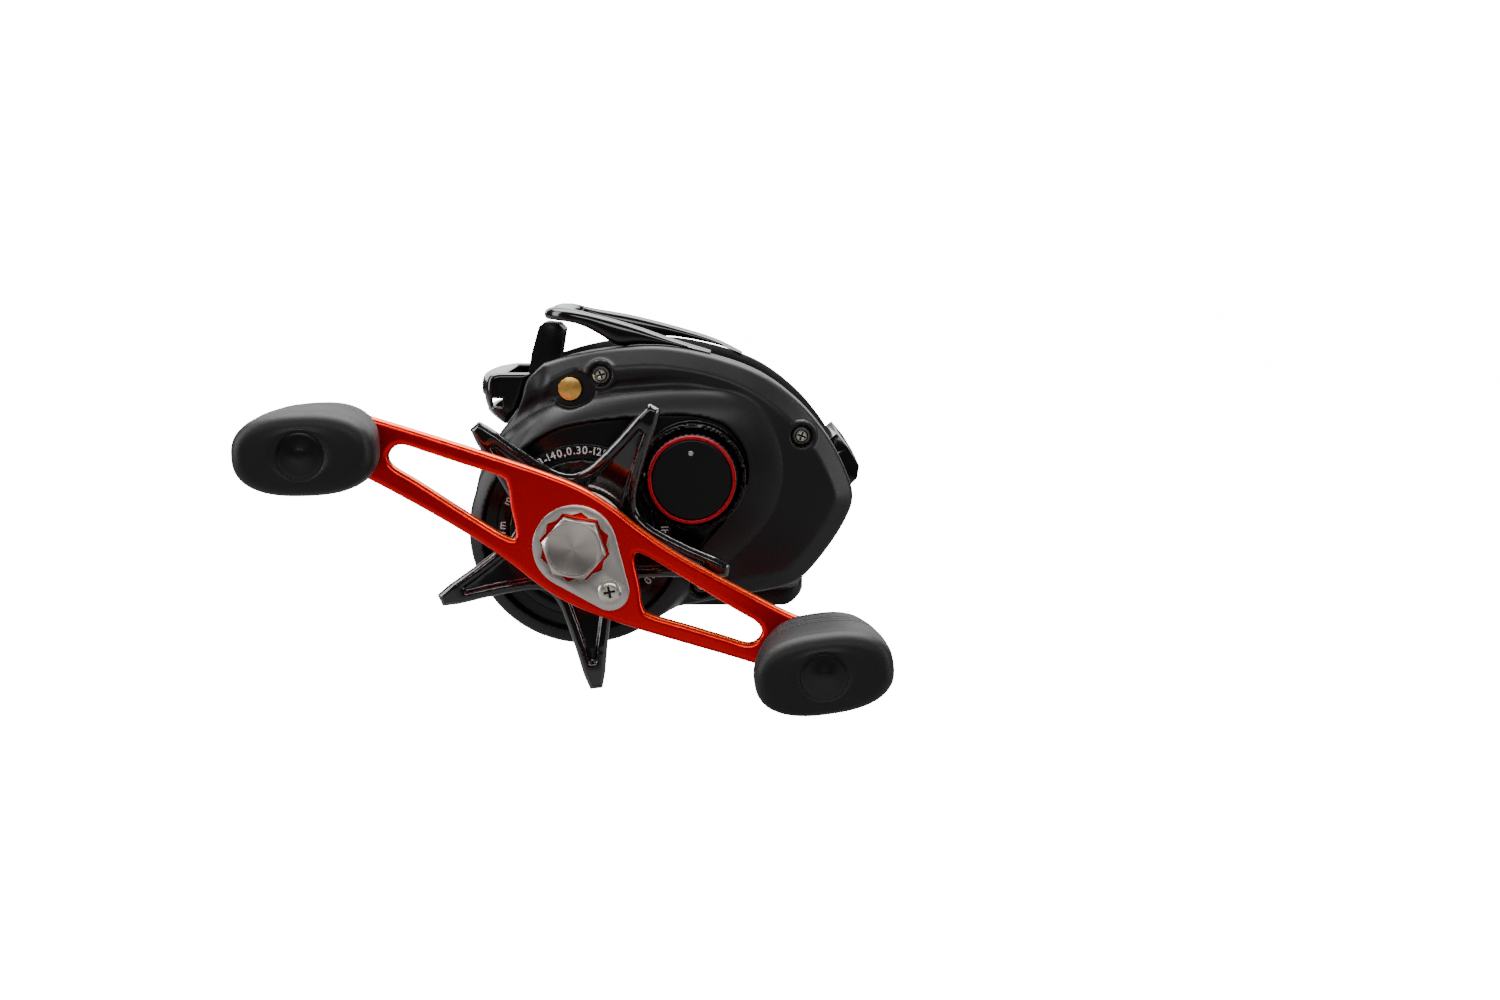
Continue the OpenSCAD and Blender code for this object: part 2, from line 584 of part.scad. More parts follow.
// Curved band that sweeps the arms slightly towards the reel, seen along the handle's width.
sweep = 1.4;
function sweep_at(u) = -sweep * ease((abs(u) - 12) / 24);
module swept_band() rotate([90, 0, 0]) linear_extrude(30, center = true) polygon(concat(
    [for (u = [-56 : 4 : 56]) [u, sweep_at(u)]], [for (u = [56 : -4 : -56]) [u, handle_t + sweep_at(u)]]));

module handle_arm() color("red") reel_space() in_handle(handle_h) difference() {
    intersection() {
        translate([0, 0, -sweep - 1]) linear_extrude(handle_t + sweep + 2) polygon(handle_line);
        swept_band();
    }
    for (s = [0, 180]) rotate(s) translate([0, 0, -5]) linear_extrude(12) polygon(window_line);
    difference() {
        translate([0, 0, -1]) cylinder(r = 2.9 + fit, h = 6);
        for (s = [-1, 1]) translate([-4, s * 3.45 - 1 + s * fit, -2]) cube([8, 2, 8]);
    }
    for (s = [-1, 1]) translate([s * half_span, 0, -5]) cylinder(r = 2.2 + fit, h = 12);
    translate([8.8, -4.9, -1]) cylinder(r = 0.9 + fit, h = 6);
}

module handle_nut() color("silver") reel_space() in_handle(44.62) difference() {
    intersection() {
        rotate(12) cylinder(r = 5.78, h = 4.08, $fn = 6);
        union() {
            cylinder(r = 6, h = 3.3);
            translate([0, 0, 3.3]) cylinder(r1 = 5.9, r2 = 4.9, h = 0.78);
        }
    }
    translate([0, 0, -1]) cylinder(r = 2.9 + fit, h = 4);
    translate([0, 0, 3.9]) cylinder(r = 4.5, h = 1);
}

module nut_retainer() color("silver") reel_space() in_handle(44.62) difference() {
    linear_extrude(1) link([0, 0], 7.5, [8.8, -4.9], 3.5);
    for (a = [0, 30]) rotate(12 + a) translate([0, 0, -1]) cylinder(r = 6.35, h = 3, $fn = 6);
    translate([8.8, -4.9, -1]) cylinder(r = 0.9 + fit, h = 3);
}

module retainer_screw() color("silver") reel_space() in_handle(0) translate([8.8, -4.9, 0]) difference() {
    union() {
        translate([0, 0, 42]) cylinder(r = 0.9, h = 4);
        translate([0, 0, 45.64]) cylinder(r = 2.05, h = 0.45);
        translate([0, 0, 46.09]) cylinder(r1 = 2.05, r2 = 1.4, h = 0.4);
    }
    translate([0, 0, 46]) rotate(35) linear_extrude(2) {
        square([2.1, 0.42], center = true);
        square([0.42, 2.1], center = true);
    }
}

post_h0 = handle_h - sweep - 0.7;
knob_h0 = 45.4;
module knob_posts() color("silver") reel_space() in_handle(0) for (s = [-1, 1])
    translate([s * half_span, 0, 0]) {
        translate([0, 0, post_h0]) cylinder(r = 3.1, h = 0.68);
        translate([0, 0, post_h0]) cylinder(r = 2.2, h = 26);
        translate([0, 0, handle_h - sweep + handle_t + 0.02]) cylinder(r = 3.6, h = 1.6);
        translate([0, 0, post_h0 + 26]) cylinder(r = 2.9, h = 1);
    }

// Paddle knob on its post, with bushes inside and a round cap flush in its end.
function squircle(a, b, p, n) = [for (k = [0 : n - 1]) let (t = 360 * k / n, c = cos(t), s = sin(t))
    [a * sign(c) * pow(abs(c), 2 / p), b * sign(s) * pow(abs(s), 2 / p)]];
// sections of the knob from its base: distance, half length, half width
knob_sections = [[0, 8.2, 5.6], [0.6, 9.0, 6.4], [2.5, 9.9, 7.3], [8, 10.9, 7.6], [14, 11.7, 7.6],
    [18.5, 12, 7.3], [21, 11.7, 6.8], [22.4, 10.8, 5.9], [23, 9.5, 5.0]];
module knob(turn) difference() {
    rotate(turn) loft([for (k = knob_sections)
        level(squircle(k[1], k[2], 2.5, 48), knob_h0 + k[0] * knob_len / 23)]);
    // bore that turns on the post, wider for the post's retaining head
    translate([0, 0, knob_h0 - 1]) cylinder(r = 2.2 + run, h = 22);
    translate([0, 0, 64]) cylinder(r = 3.1, h = 4);
    // shadow groove round the end cap
    translate([0, 0, knob_h0 + knob_len - 0.8]) tube(4.2, 3.95, 2);
}
module knob_front() color("#2a2829") reel_space()
    in_handle(0) translate([-half_span, 0, 0]) knob(2 - handle_angle);
module knob_rear() color("#2a2829") reel_space()
    in_handle(0) translate([half_span, 0, 0]) knob(8 - handle_angle);

// ---- star drag ----

star_start = 60;
module star_arm() {
    // sections from the hub to the tip: radius, half width, underside, top
    secs = [[6, 8.4, 30.9, 33.0], [9.5, 7.2, 31.3, 33.8], [12, 5.6, 32.4, 34.7], [15.5, 4.1, 33.2, 35.6],
        [20, 2.9, 33.7, 36.3], [24.5, 1.9, 34.0, 36.7], [star_tip_r - 0.5, 1.35, 34.2, 36.7],
        [star_tip_r, 0.8, 34.5, 36.3]];
    loft([for (s = secs) let (r = s[0], w = s[1], b = s[2], t = s[3])
        [[r, -w, b + 0.3], [r, -w * 0.7, b], [r, w * 0.7, b], [r, w, b + 0.3],
            [r, w, t - 1.0], [r, w * 0.45, t], [r, -w * 0.45, t], [r, -w, t - 1.0]]]);
}
module star_wheel() color("#101011") reel_space() at_axis(drive_c, 0) difference() {
    union() {
        for (k = [0 : 4]) rotate(star_start + 72 * k) star_arm();
        translate([0, 0, 27.7]) cylinder(r = 11.6, h = 3.4);
        translate([0, 0, 31]) cylinder(r1 = 11.9, r2 = 11.2, h = 2.6);
        translate([0, 0, 33]) cylinder(r = 7.6, h = 4);
    }
    translate([0, 0, 20]) cylinder(r = 9.4, h = 10.9);
    translate([0, 0, 25]) cylinder(r = 5.2 + fit, h = 14);
}
module star_nut() color("goldenrod") reel_space() at_axis(drive_c, 31.6) tube(5.2, 2.9 + run, 5.3);

// ---- pinion, clutch and thumb bar ----

module pinion_gear() color("goldenrod") reel_space() difference() {
    union() {
        bar(spool_c, 3 - run, 14.3, 17.8);
        bar(spool_c, 2.3, 17.7, 19.4);
        at_axis(spool_c, 19.3) rotate(pinion_turn)
            linear_extrude(6.2) polygon(gear_points(pinion_teeth, main_m));
    }
    bar(spool_c, 1.5 + run, 13, 27);
    at_axis(spool_c, 13) linear_extrude(2.8) square([8, 1.16], center = true);
}

module clutch_yoke() color("#e8e4d8") reel_space() at_axis(spool_c, 18) difference() {
    linear_extrude(1) {
        link(-post_offset, 2, post_offset, 2);
        circle(r = 3);
    }
    rotate(heading(drive_c, spool_c)) {
        translate([0, 0, -1]) cylinder(r = 2.3 + run, h = 3);
        translate([0, -2.3 - run, -1]) cube([6, 2 * (2.3 + run), 3]);
    }
    for (s = [-1, 1]) translate([s * post_offset[0], s * post_offset[1], -1]) cylinder(r = 0.9 + run, h = 3);
}

cam_h = 17.08;
module clutch_cam() color("silver") reel_space() at_axis(spool_c, cam_h) difference() {
    linear_extrude(0.85) {
        difference() {
            circle(r = 10.9);
            circle(r = 5.6);
        }
        sector(26.3, 10.6, -3, 3);
        sector(14.6, 10.6, 190, 200);
    }
    translate([25.3, -0.9, -1]) cube([0.9, 1.8, 3]);
    // slots that let the ring turn past the two yoke posts
    for (a = [0, 180]) translate([0, 0, -1]) linear_extrude(3)
        sector(9.6, 7.4, a + heading([0, 0], post_offset) - 9, a + heading([0, 0], post_offset) + 21);
}

module thumb_bar() color("#1b1b1d") reel_space() {
    // pad between the side plates, curved about the spool axis
    at_axis(spool_c, -13.6) difference() {
        linear_extrude(27.2) polygon(concat(
            [for (a = [11 : -3 : -10]) 25.2 * [cos(a), sin(a)]],
            [[27.3, -4.9], [29.6, -3.4], [31.2, -1.8], [31.6, 0.6], [29.4, 4.2], [27.2, 6.8]]));
        // hollow of the thumb pad
        translate([36, 7, 13.6]) sphere(r = 6.6);
    }
    // tab through the side plate to the cam
    at_axis(spool_c, 13.5) linear_extrude(4.4) translate([25.36, -0.84]) square([0.78, 1.68]);
}

// ---- spool ----

// section of one half of the spool: radius and distance from its middle, from the arbor in to the bore
spool_half = [[arbor_r, 10.2], [arbor_r + 0.6, 10.9], [spool_r - 3, 12.0], [spool_r, 12.2], [spool_r, 12.9],
    [spool_r - 0.4, 13.3], [spool_r - 4, 13.3], [arbor_r - 1.2, 12.6], [arbor_r - 1.2, 1], [3.4, 1],
    [3.4, 11], [1.5 + fit, 11]];
module spool() color("#5b5b60") reel_space() at_axis(spool_c, 0) difference() {
    rotate_extrude() polygon(concat(
        [for (i = [len(spool_half) - 1 : -1 : 0]) [spool_half[i][0], -spool_half[i][1]]],
        spool_half));
    // ports in the web and in the arbor
    for (k = [0 : 5]) rotate(60 * k) translate([6.2, 0, -2]) cylinder(r = 1.8, h = 4);
    for (k = [0 : 5], s = [-1, 1])
        rotate(60 * k + 30) translate([6, 0, s * 5.6]) rotate([0, 90, 0]) cylinder(r = 1.7, h = 7);
}
module spool_shaft() color("silver") reel_space() difference() {
    bar(spool_c, 1.5, -19.6, 29.85);
    at_axis(spool_c, 15.2) rotate([90, 0, 90]) translate([0, 0, -5]) cylinder(r = 0.5 + fit, h = 10);
}
module spool_pin() color("silver") reel_space()
    at_axis(spool_c, 15.2) rotate([90, 0, 90]) translate([0, 0, -2.6]) cylinder(r = 0.5, h = 5.2);

// ---- levelwind ----

module idler_gear() color("#e8e4d8") reel_space()
    at_axis(idler_c, 18.7) gear(idler_teeth, wind_m, idler_turn, 1.4 + run, 1.35);
module worm_gear() color("#e8e4d8") reel_space()
    at_axis(worm_c, 18.7) gear(worm_teeth, wind_m, worm_turn, 1.2 + fit, 1.35);

// One thread of the worm: a square cutter swept along a helix.
module worm_thread(hand) {
    steps = 14 * worm_turns;
    cutter = [[1.75, -0.4 * hand], [1.75, 0.4 * hand], [2.9, 0.55 * hand], [2.9, -0.55 * hand]];
    loft([for (k = [0 : steps]) let (a = hand * 360 * worm_turns * k / steps, z = 21 * (k / steps - 0.5))
        [for (c = cutter) [c[0] * cos(a), c[0] * sin(a), z + c[1]]]]);
}
module worm_shaft() color("silver") reel_space() at_axis(worm_c, 0) {
    difference() {
        translate([0, 0, -13.85]) cylinder(r = 2.4, h = 27.7);
        worm_thread(1);
        worm_thread(-1);
    }
    translate([0, 0, -16.6]) cylinder(r = 1.5, h = 4);
    translate([0, 0, 12.6]) cylinder(r = 1.5, h = 6.05);
    translate([0, 0, 18.6]) cylinder(r = 1.2, h = 2.7);
}

module line_guide() color("#18181a") {
    difference() {
        union() {
            reel_space() {
                bar(worm_c, 4.3, -4.2, 4.2);
                translate([0, 0, -4.2]) linear_extrude(8.4) polygon([[-32.6, 44.2], [-28, 43.6], [-22, 43.9],
                    [-22, 51.4], [-27, 51.2], [-32.4, 50.6]]);
                // upright that carries the line eye
                translate([0, 0, -4.2]) linear_extrude(8.4) polygon([[-32.5, 49.5], [-26.9, 49.5],
                    [-26.2, 54], [-25.5, 58.2], [-26.6, 59.4], [-29.2, 59.7], [-30.4, 58.8], [-31.9, 53.5]]);
            }
            // pawl housing under the worm
            translate([worm_c[0], 0, 40.6]) cylinder(r = 3.1, h = 5);
        }
        reel_space() {
            bar(worm_c, 2.4 + 0.12, -6, 6);
            bar(rod_c, 1.25 + run, -6, 6);
        }
        // eye for the line
        translate([-34, -1.9, 51.6]) cube([12, 3.8, 6]);
        translate([worm_c[0], 0, 39]) cylinder(r = 1.8, h = 6.5);
    }
}
module guide_insert() color("#c8c8cc") difference() {
    translate([-30.3, -1.88, 51.62]) cube([2.6, 3.76, 5.96]);
    translate([-34, -1.1, 52.4]) cube([12, 2.2, 4.4]);
}
module pawl_cap() color("silver") translate([worm_c[0], 0, 0]) {
    translate([0, 0, 39.6]) cylinder(r = 2.6, h = 0.98);
    translate([0, 0, 40.5]) cylinder(r = 1.78, h = 4.9);
}

// ---- cast control knob ----

module cast_knob() color("#0e0e0f") reel_space() at_axis(spool_c, 0) difference() {
    union() {
        translate([0, 0, 27.9]) cylinder(r = 8.1, h = 4.2);
        for (k = [0 : 47]) rotate(7.5 * k) translate([8.1, 0, 28.2]) cylinder(r = 0.2, h = 3.2, $fn = 16);
    }
    translate([0, 0, 27]) cylinder(r = 6.55 + run, h = 4);
    translate([0, 0, 31.2]) tube(9, 7.45, 2);
}
module cast_knob_ring() color("crimson") reel_space() at_axis(spool_c, 31.25) tube(8.1, 7.47, 1.0);
module cast_shim() color("goldenrod") reel_space() at_axis(spool_c, 30.25) cylinder(r = 4.2, h = 0.6);

frame();
reel_foot();
foot_screws();
front_cowl();
top_hood();
side_cover();
side_cover_screws();
capacity_ring();
oil_port_bush();
drive_shaft_bearing();
pinion_bearing();
spool_bearing_handle();
spool_bearing_palm();
roller_clutch();
worm_bushings();
guide_rod();
idler_pin();
yoke_posts();
yoke_springs();
palm_plate();
palm_plate_screws();
drive_shaft();
ratchet_wheel();
levelwind_drive_gear();
drag_plate();
spring_washers();
clutch_sleeve();
click_washer();
handle_spacer();
handle_arm();
handle_nut();
nut_retainer();
retainer_screw();
knob_posts();
star_wheel();
star_nut();
main_gear();
drag_washer();
pinion_gear();
clutch_yoke();
thumb_bar();
clutch_cam();
spool();
spool_shaft();
spool_pin();
idler_gear();
worm_shaft();
worm_gear();
line_guide();
guide_insert();
pawl_cap();
cast_knob();
cast_knob_ring();
cast_shim();
brake_dial();
magnet_ring();
brake_magnets();
palm_lock();
knob_front();
knob_rear();
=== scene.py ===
"""Looks of a low-profile baitcasting reel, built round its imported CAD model.

Most shapes are worked out in reel space: x towards the butt of the rod, z up and h out towards the
handle (h = -y), all in millimetres. Moulded shells are drawn as distance fields and skinned with a
surface net, so that their edges and hollows flow together as a casting's do.
"""
import bpy
import json
import math
import numpy as np
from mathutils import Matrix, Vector


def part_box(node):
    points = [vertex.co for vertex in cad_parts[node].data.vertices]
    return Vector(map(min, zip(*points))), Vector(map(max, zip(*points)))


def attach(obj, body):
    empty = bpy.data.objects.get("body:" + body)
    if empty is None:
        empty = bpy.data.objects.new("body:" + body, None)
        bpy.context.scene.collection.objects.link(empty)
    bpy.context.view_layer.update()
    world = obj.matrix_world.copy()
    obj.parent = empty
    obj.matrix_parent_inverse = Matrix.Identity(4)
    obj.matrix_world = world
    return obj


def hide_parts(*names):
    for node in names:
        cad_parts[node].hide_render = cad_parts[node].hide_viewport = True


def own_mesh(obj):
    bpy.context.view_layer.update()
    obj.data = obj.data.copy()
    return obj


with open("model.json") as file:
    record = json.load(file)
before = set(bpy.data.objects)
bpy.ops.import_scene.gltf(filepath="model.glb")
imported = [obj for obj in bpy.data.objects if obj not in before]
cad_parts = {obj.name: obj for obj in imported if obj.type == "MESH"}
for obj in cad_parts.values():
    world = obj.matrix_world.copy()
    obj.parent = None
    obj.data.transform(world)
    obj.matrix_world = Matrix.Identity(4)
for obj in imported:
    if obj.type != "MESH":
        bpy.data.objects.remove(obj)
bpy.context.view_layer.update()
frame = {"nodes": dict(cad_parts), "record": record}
MM = 0.001

# axes of the reel, in millimetres of reel space
joints = {j["name"]: j for j in frame["record"]["behaviour"]["joints"]}


def axis_of(joint):
    """x and z of a joint's axis, in millimetres."""
    pos = joints[joint]["pos_m"]
    return np.array([pos[0], pos[2]]) / MM


SPOOL = axis_of("spool_spin")
DRIVE = axis_of("handle_turn")
WORM = axis_of("worm_spin")
KNOB_FRONT = axis_of("front_knob_spin")
KNOB_REAR = axis_of("rear_knob_spin")
HANDLE_ANGLE = math.degrees(math.atan2(*(KNOB_REAR - KNOB_FRONT)[::-1]))


def span(node):
    """Lowest and highest h of a CAD node, in millimetres."""
    low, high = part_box(node)
    return -high.y / MM, -low.y / MM


def middle(node):
    """x and z of the middle of a CAD node, in millimetres."""
    low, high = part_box(node)
    return np.array([low.x + high.x, low.z + high.z]) / 2 / MM


# ---------------------------------------------------------------- materials

def new_material(name):
    mat = bpy.data.materials.new(name)
    mat.use_nodes = True
    nodes = mat.node_tree.nodes
    return mat, nodes, mat.node_tree.links, nodes["Principled BSDF"]


def add(nodes, kind, **values):
    node = nodes.new(kind)
    for key, value in values.items():
        if hasattr(node, key):
            setattr(node, key, value)
        else:
            node.inputs[key.replace("_", " ")].default_value = value
    return node


def object_coords(nodes):
    return nodes.new("ShaderNodeTexCoord").outputs["Object"]


def surface(name, color, rough, metal=0.0, coat=0.0, grain=900.0, bump=0.0, rough_vary=0.06, color_vary=0.06,
            coat_rough=0.08, specular=0.5, painted_top_highlight=None):
    """Base finish: a colour that drifts a little, wear-like changes in gloss and a fine bump.

    A second colour, if given, is painted on faces that look up: a painted highlight, lighter and more orange
    where the top light falls.
    """
    mat, nodes, links, shader = new_material(name)
    coords = object_coords(nodes)
    drift = add(nodes, "ShaderNodeTexNoise", Scale=90.0, Detail=4.0)
    fine = add(nodes, "ShaderNodeTexNoise", Scale=grain, Detail=3.0)
    links.new(coords, drift.inputs["Vector"])
    links.new(coords, fine.inputs["Vector"])
    shade = add(nodes, "ShaderNodeMixRGB", blend_type="MIX")
    shade.inputs[1].default_value = [c * (1 - color_vary) for c in color] + [1]
    shade.inputs[2].default_value = [min(1, c * (1 + color_vary)) for c in color] + [1]
    links.new(drift.outputs["Fac"], shade.inputs[0])
    base = shade.outputs[0]
    # painted highlight: faces that look up take the second colour
    if painted_top_highlight:
        facing = add(nodes, "ShaderNodeSeparateXYZ")
        links.new(add(nodes, "ShaderNodeNewGeometry").outputs["Normal"], facing.inputs[0])
        amount = add(nodes, "ShaderNodeMapRange")
        amount.inputs["From Min"].default_value = 0.3
        amount.inputs["From Max"].default_value = 0.95
        links.new(facing.outputs["Z"], amount.inputs["Value"])
        tint = add(nodes, "ShaderNodeMixRGB")
        tint.inputs[2].default_value = list(painted_top_highlight) + [1]
        links.new(amount.outputs[0], tint.inputs[0])
        links.new(base, tint.inputs[1])
        base = tint.outputs[0]
    links.new(base, shader.inputs["Base Color"])
    gloss = add(nodes, "ShaderNodeMapRange")
    gloss.inputs["To Min"].default_value = max(0.02, rough - rough_vary)
    gloss.inputs["To Max"].default_value = rough + rough_vary
    links.new(drift.outputs["Fac"], gloss.inputs["Value"])
    links.new(gloss.outputs[0], shader.inputs["Roughness"])
    shader.inputs["Metallic"].default_value = metal
    shader.inputs["Coat Weight"].default_value = coat
    shader.inputs["Coat Roughness"].default_value = coat_rough
    shader.inputs["Specular IOR Level"].default_value = specular
    if bump:
        node = add(nodes, "ShaderNodeBump", Strength=bump)
        node.inputs["Distance"].default_value = 0.05 * MM
        links.new(fine.outputs["Fac"], node.inputs["Height"])
        links.new(node.outputs[0], shader.inputs["Normal"])
    return mat


def turned(name, color, rough, centre, rings=5.0, metal=1.0):
    """Lathe-turned metal: fine rings and a fan-shaped sheen about an axis along h."""
    mat, nodes, links, shader = new_material(name)
    coords = object_coords(nodes)
    shift = add(nodes, "ShaderNodeVectorMath", operation="SUBTRACT")
    shift.inputs[1].default_value = (centre[0] * MM, 0, centre[1] * MM)
    links.new(coords, shift.inputs[0])
    flat = add(nodes, "ShaderNodeVectorMath", operation="MULTIPLY")
    flat.inputs[1].default_value = (1, 0, 1)
    links.new(shift.outputs[0], flat.inputs[0])
    length = add(nodes, "ShaderNodeVectorMath", operation="LENGTH")
    links.new(flat.outputs[0], length.inputs[0])
    parts = add(nodes, "ShaderNodeSeparateXYZ")
    links.new(flat.outputs[0], parts.inputs[0])
    angle = add(nodes, "ShaderNodeMath", operation="ARCTAN2")
    links.new(parts.outputs["X"], angle.inputs[0])
    links.new(parts.outputs["Z"], angle.inputs[1])
    groove = add(nodes, "ShaderNodeMath", operation="MULTIPLY")
    groove.inputs[1].default_value = rings / MM * 2 * math.pi
    links.new(length.outputs["Value"], groove.inputs[0])
    wave = add(nodes, "ShaderNodeMath", operation="SINE")
    links.new(groove.outputs[0], wave.inputs[0])
    noise = add(nodes, "ShaderNodeTexNoise", Scale=1400.0, Detail=2.0)
    links.new(coords, noise.inputs["Vector"])
    mixed = add(nodes, "ShaderNodeMath", operation="MULTIPLY_ADD")
    mixed.inputs[1].default_value = 0.5
    links.new(wave.outputs[0], mixed.inputs[0])
    links.new(noise.outputs["Fac"], mixed.inputs[2])
    bump = add(nodes, "ShaderNodeBump", Strength=0.25)
    bump.inputs["Distance"].default_value = 0.02 * MM
    links.new(mixed.outputs[0], bump.inputs["Height"])
    links.new(bump.outputs[0], shader.inputs["Normal"])
    # the fan: four soft light and dark sectors, as a turned face shows under a softbox
    fan = add(nodes, "ShaderNodeMath", operation="MULTIPLY")
    fan.inputs[1].default_value = 4.0
    links.new(angle.outputs[0], fan.inputs[0])
    swing = add(nodes, "ShaderNodeMath", operation="SINE")
    links.new(fan.outputs[0], swing.inputs[0])
    shade = add(nodes, "ShaderNodeMapRange")
    shade.inputs["From Min"].default_value = -1
    shade.inputs["To Min"].default_value = 0.86
    shade.inputs["To Max"].default_value = 1.06
    links.new(swing.outputs[0], shade.inputs["Value"])
    tint = add(nodes, "ShaderNodeVectorMath", operation="SCALE")
    tint.inputs[0].default_value = color
    links.new(shade.outputs[0], tint.inputs["Scale"])
    links.new(tint.outputs[0], shader.inputs["Base Color"])
    shader.inputs["Metallic"].default_value = metal
    shader.inputs["Roughness"].default_value = rough
    shader.inputs["Anisotropic"].default_value = 0.5
    return mat


CHARCOAL = surface("satin_charcoal", (0.0085, 0.0075, 0.009), 0.4, coat=0.1, grain=2600, bump=0.12,
                   coat_rough=0.3, specular=0.28)
GLOSS = surface("gloss_black", (0.002, 0.0018, 0.002), 0.2, grain=400, bump=0.01, rough_vary=0.03,
                specular=0.4)
STAR = surface("star_gloss", (0.003, 0.0027, 0.003), 0.14, coat=0.7, grain=400, bump=0.01, rough_vary=0.03,
               coat_rough=0.12)
HOOD = surface("gloss_grey", (0.0035, 0.003, 0.0038), 0.16, coat=0.5, grain=400, bump=0.01, rough_vary=0.03,
               specular=0.4)
SATIN_BLACK = surface("satin_black", (0.003, 0.0027, 0.003), 0.34, grain=1800, bump=0.08, specular=0.3)
CAP = surface("knob_cap", (0.0035, 0.0033, 0.0037), 0.26, grain=2200, bump=0.05, specular=0.45)
RUBBER = surface("knob_rubber", (0.0065, 0.006, 0.0068), 0.5, grain=3800, bump=0.3, specular=0.3)
# the handle gets a painted orange highlight on the faces that look up
RED = surface("red_anodised", (0.82, 0.0004, 0.004), 0.28, metal=0.85, grain=3200, bump=0.06, color_vary=0.05,
              painted_top_highlight=(1.0, 0.1, 0.004))
RED_RING = surface("red_ring", (0.5, 0.004, 0.015), 0.28, metal=0.5, grain=3000, bump=0.05)
STEEL = surface("satin_steel", (0.62, 0.58, 0.55), 0.3, metal=0.85, grain=2800, bump=0.1)
NICKEL = surface("nickel", (0.74, 0.69, 0.62), 0.24, metal=0.8, grain=1600, bump=0.06)
ALLOY = surface("frame_alloy", (0.012, 0.011, 0.013), 0.36, metal=0.6, grain=3000, bump=0.1)
SPOOL_ALLOY = surface("spool_alloy", (0.08, 0.075, 0.085), 0.25, metal=1.0, grain=2600, bump=0.06)
WHITE = surface("acetal", (0.6, 0.58, 0.52), 0.4, grain=1500, bump=0.05, color_vary=0.03)
FIBRE = surface("drag_fibre", (0.02, 0.02, 0.02), 0.55, grain=1200, bump=0.4)
CERAMIC = surface("ceramic", (0.45, 0.45, 0.48), 0.12, grain=700, bump=0.03)
INK = surface("white_print", (0.8, 0.79, 0.76), 0.45, grain=2000, bump=0.05, color_vary=0.03)
BRASS = surface("brass", (0.62, 0.38, 0.1), 0.26, metal=0.9, grain=2200, bump=0.08)
BRASS_FACE = turned("turned_brass", (0.9, 0.52, 0.12), 0.26, WORM, rings=4.0, metal=0.65)
NUT_FACE = turned("turned_nut", (0.66, 0.6, 0.56), 0.3, DRIVE, rings=3.0)

finish_of = {
    CHARCOAL: ["side_cover", "palm_plate"],
    HOOD: ["front_cowl", "top_hood", "thumb_bar"],
    GLOSS: ["capacity_ring"],
    STAR: ["star_wheel"],
    SATIN_BLACK: ["cast_knob", "handle_spacer", "brake_dial", "palm_lock", "line_guide"],
    ALLOY: ["frame", "reel_foot"],
    SPOOL_ALLOY: ["spool"],
    RED: ["handle_arm"],
    RED_RING: ["cast_knob_ring"],
    NUT_FACE: ["handle_nut"],
    NICKEL: ["side_cover_screws", "palm_plate_screws", "retainer_screw", "foot_screws", "brake_magnets",
             "knob_posts"],
    BRASS_FACE: ["oil_port_bush"],
    BRASS: ["star_nut", "main_gear", "pinion_gear", "cast_shim"],
    WHITE: ["worm_bushings", "levelwind_drive_gear", "clutch_yoke", "idler_gear", "worm_gear", "magnet_ring"],
    RUBBER: ["knob_front", "knob_rear"],
    FIBRE: ["drag_washer"],
    CERAMIC: ["guide_insert"],
}
for obj in frame["nodes"].values():
    obj.data.materials.clear()
    obj.data.materials.append(STEEL)
for mat, names in finish_of.items():
    for name in names:
        frame["nodes"][name].data.materials[0] = mat


def soften(node, width, angle=35, segments=2):
    """Small bevels on the sharp edges of a CAD node."""
    obj = frame["nodes"][node]
    weld = obj.modifiers.new("weld", "WELD")
    weld.merge_threshold = 0.002 * MM
    bevel = obj.modifiers.new("bevel", "BEVEL")
    bevel.width = width * MM
    bevel.segments = segments
    bevel.limit_method = "ANGLE"
    bevel.angle_limit = math.radians(angle)
    bevel.harden_normals = True
    for face in obj.data.polygons:
        face.use_smooth = True


# ---------------------------------------------------------------- outlines and fields

def curve(points, closed=True, steps=8):
    """Smooth curve through a few points, as many short chords."""
    pts = [np.array(p, float) for p in points]
    n = len(pts)
    get = (lambda i: pts[i % n]) if closed else (lambda i: pts[min(max(i, 0), n - 1)])
    out = []
    for i in range(n if closed else n - 1):
        a, b, c, d = get(i - 1), get(i), get(i + 1), get(i + 2)
        for k in range(steps):
            t = k / steps
            out.append(0.5 * (2 * b + (c - a) * t + (2 * a - 5 * b + 4 * c - d) * t * t
                              + (3 * b - a - 3 * c + d) * t ** 3))
    if not closed:
        out.append(pts[-1])
    return np.array(out)


def arc(centre, radius, start, end, steps):
    angles = np.radians(np.linspace(start, end, steps + 1))
    return np.array(centre) + radius * np.stack([np.cos(angles), np.sin(angles)], 1)


def outline_distance(x, z, outline):
    """Distance to a closed outline, negative inside, for arrays of points."""
    x, z = np.broadcast_arrays(x, z)
    best = np.full(x.shape, 1e9)
    inside = np.zeros(x.shape, bool)
    for (ax, az), (bx, bz) in zip(outline, np.roll(outline, -1, 0)):
        ex, ez = bx - ax, bz - az
        length = ex * ex + ez * ez
        if length < 1e-12:
            continue
        t = np.clip(((x - ax) * ex + (z - az) * ez) / length, 0, 1)
        best = np.minimum(best, (x - ax - t * ex) ** 2 + (z - az - t * ez) ** 2)
        if ez:
            crosses = (az > z) != (bz > z)
            inside ^= crosses & (x < ax + ex * (z - az) / ez)
    best = np.sqrt(best)
    return np.where(inside, -best, best)


def away(x, z, centre):
    return np.hypot(x - centre[0], z - centre[1])


def both(a, b, blend=0.3):
    """Smooth intersection of two fields."""
    t = np.clip(0.5 - 0.5 * (b - a) / blend, 0, 1)
    return b * (1 - t) + a * t + blend * t * (1 - t)


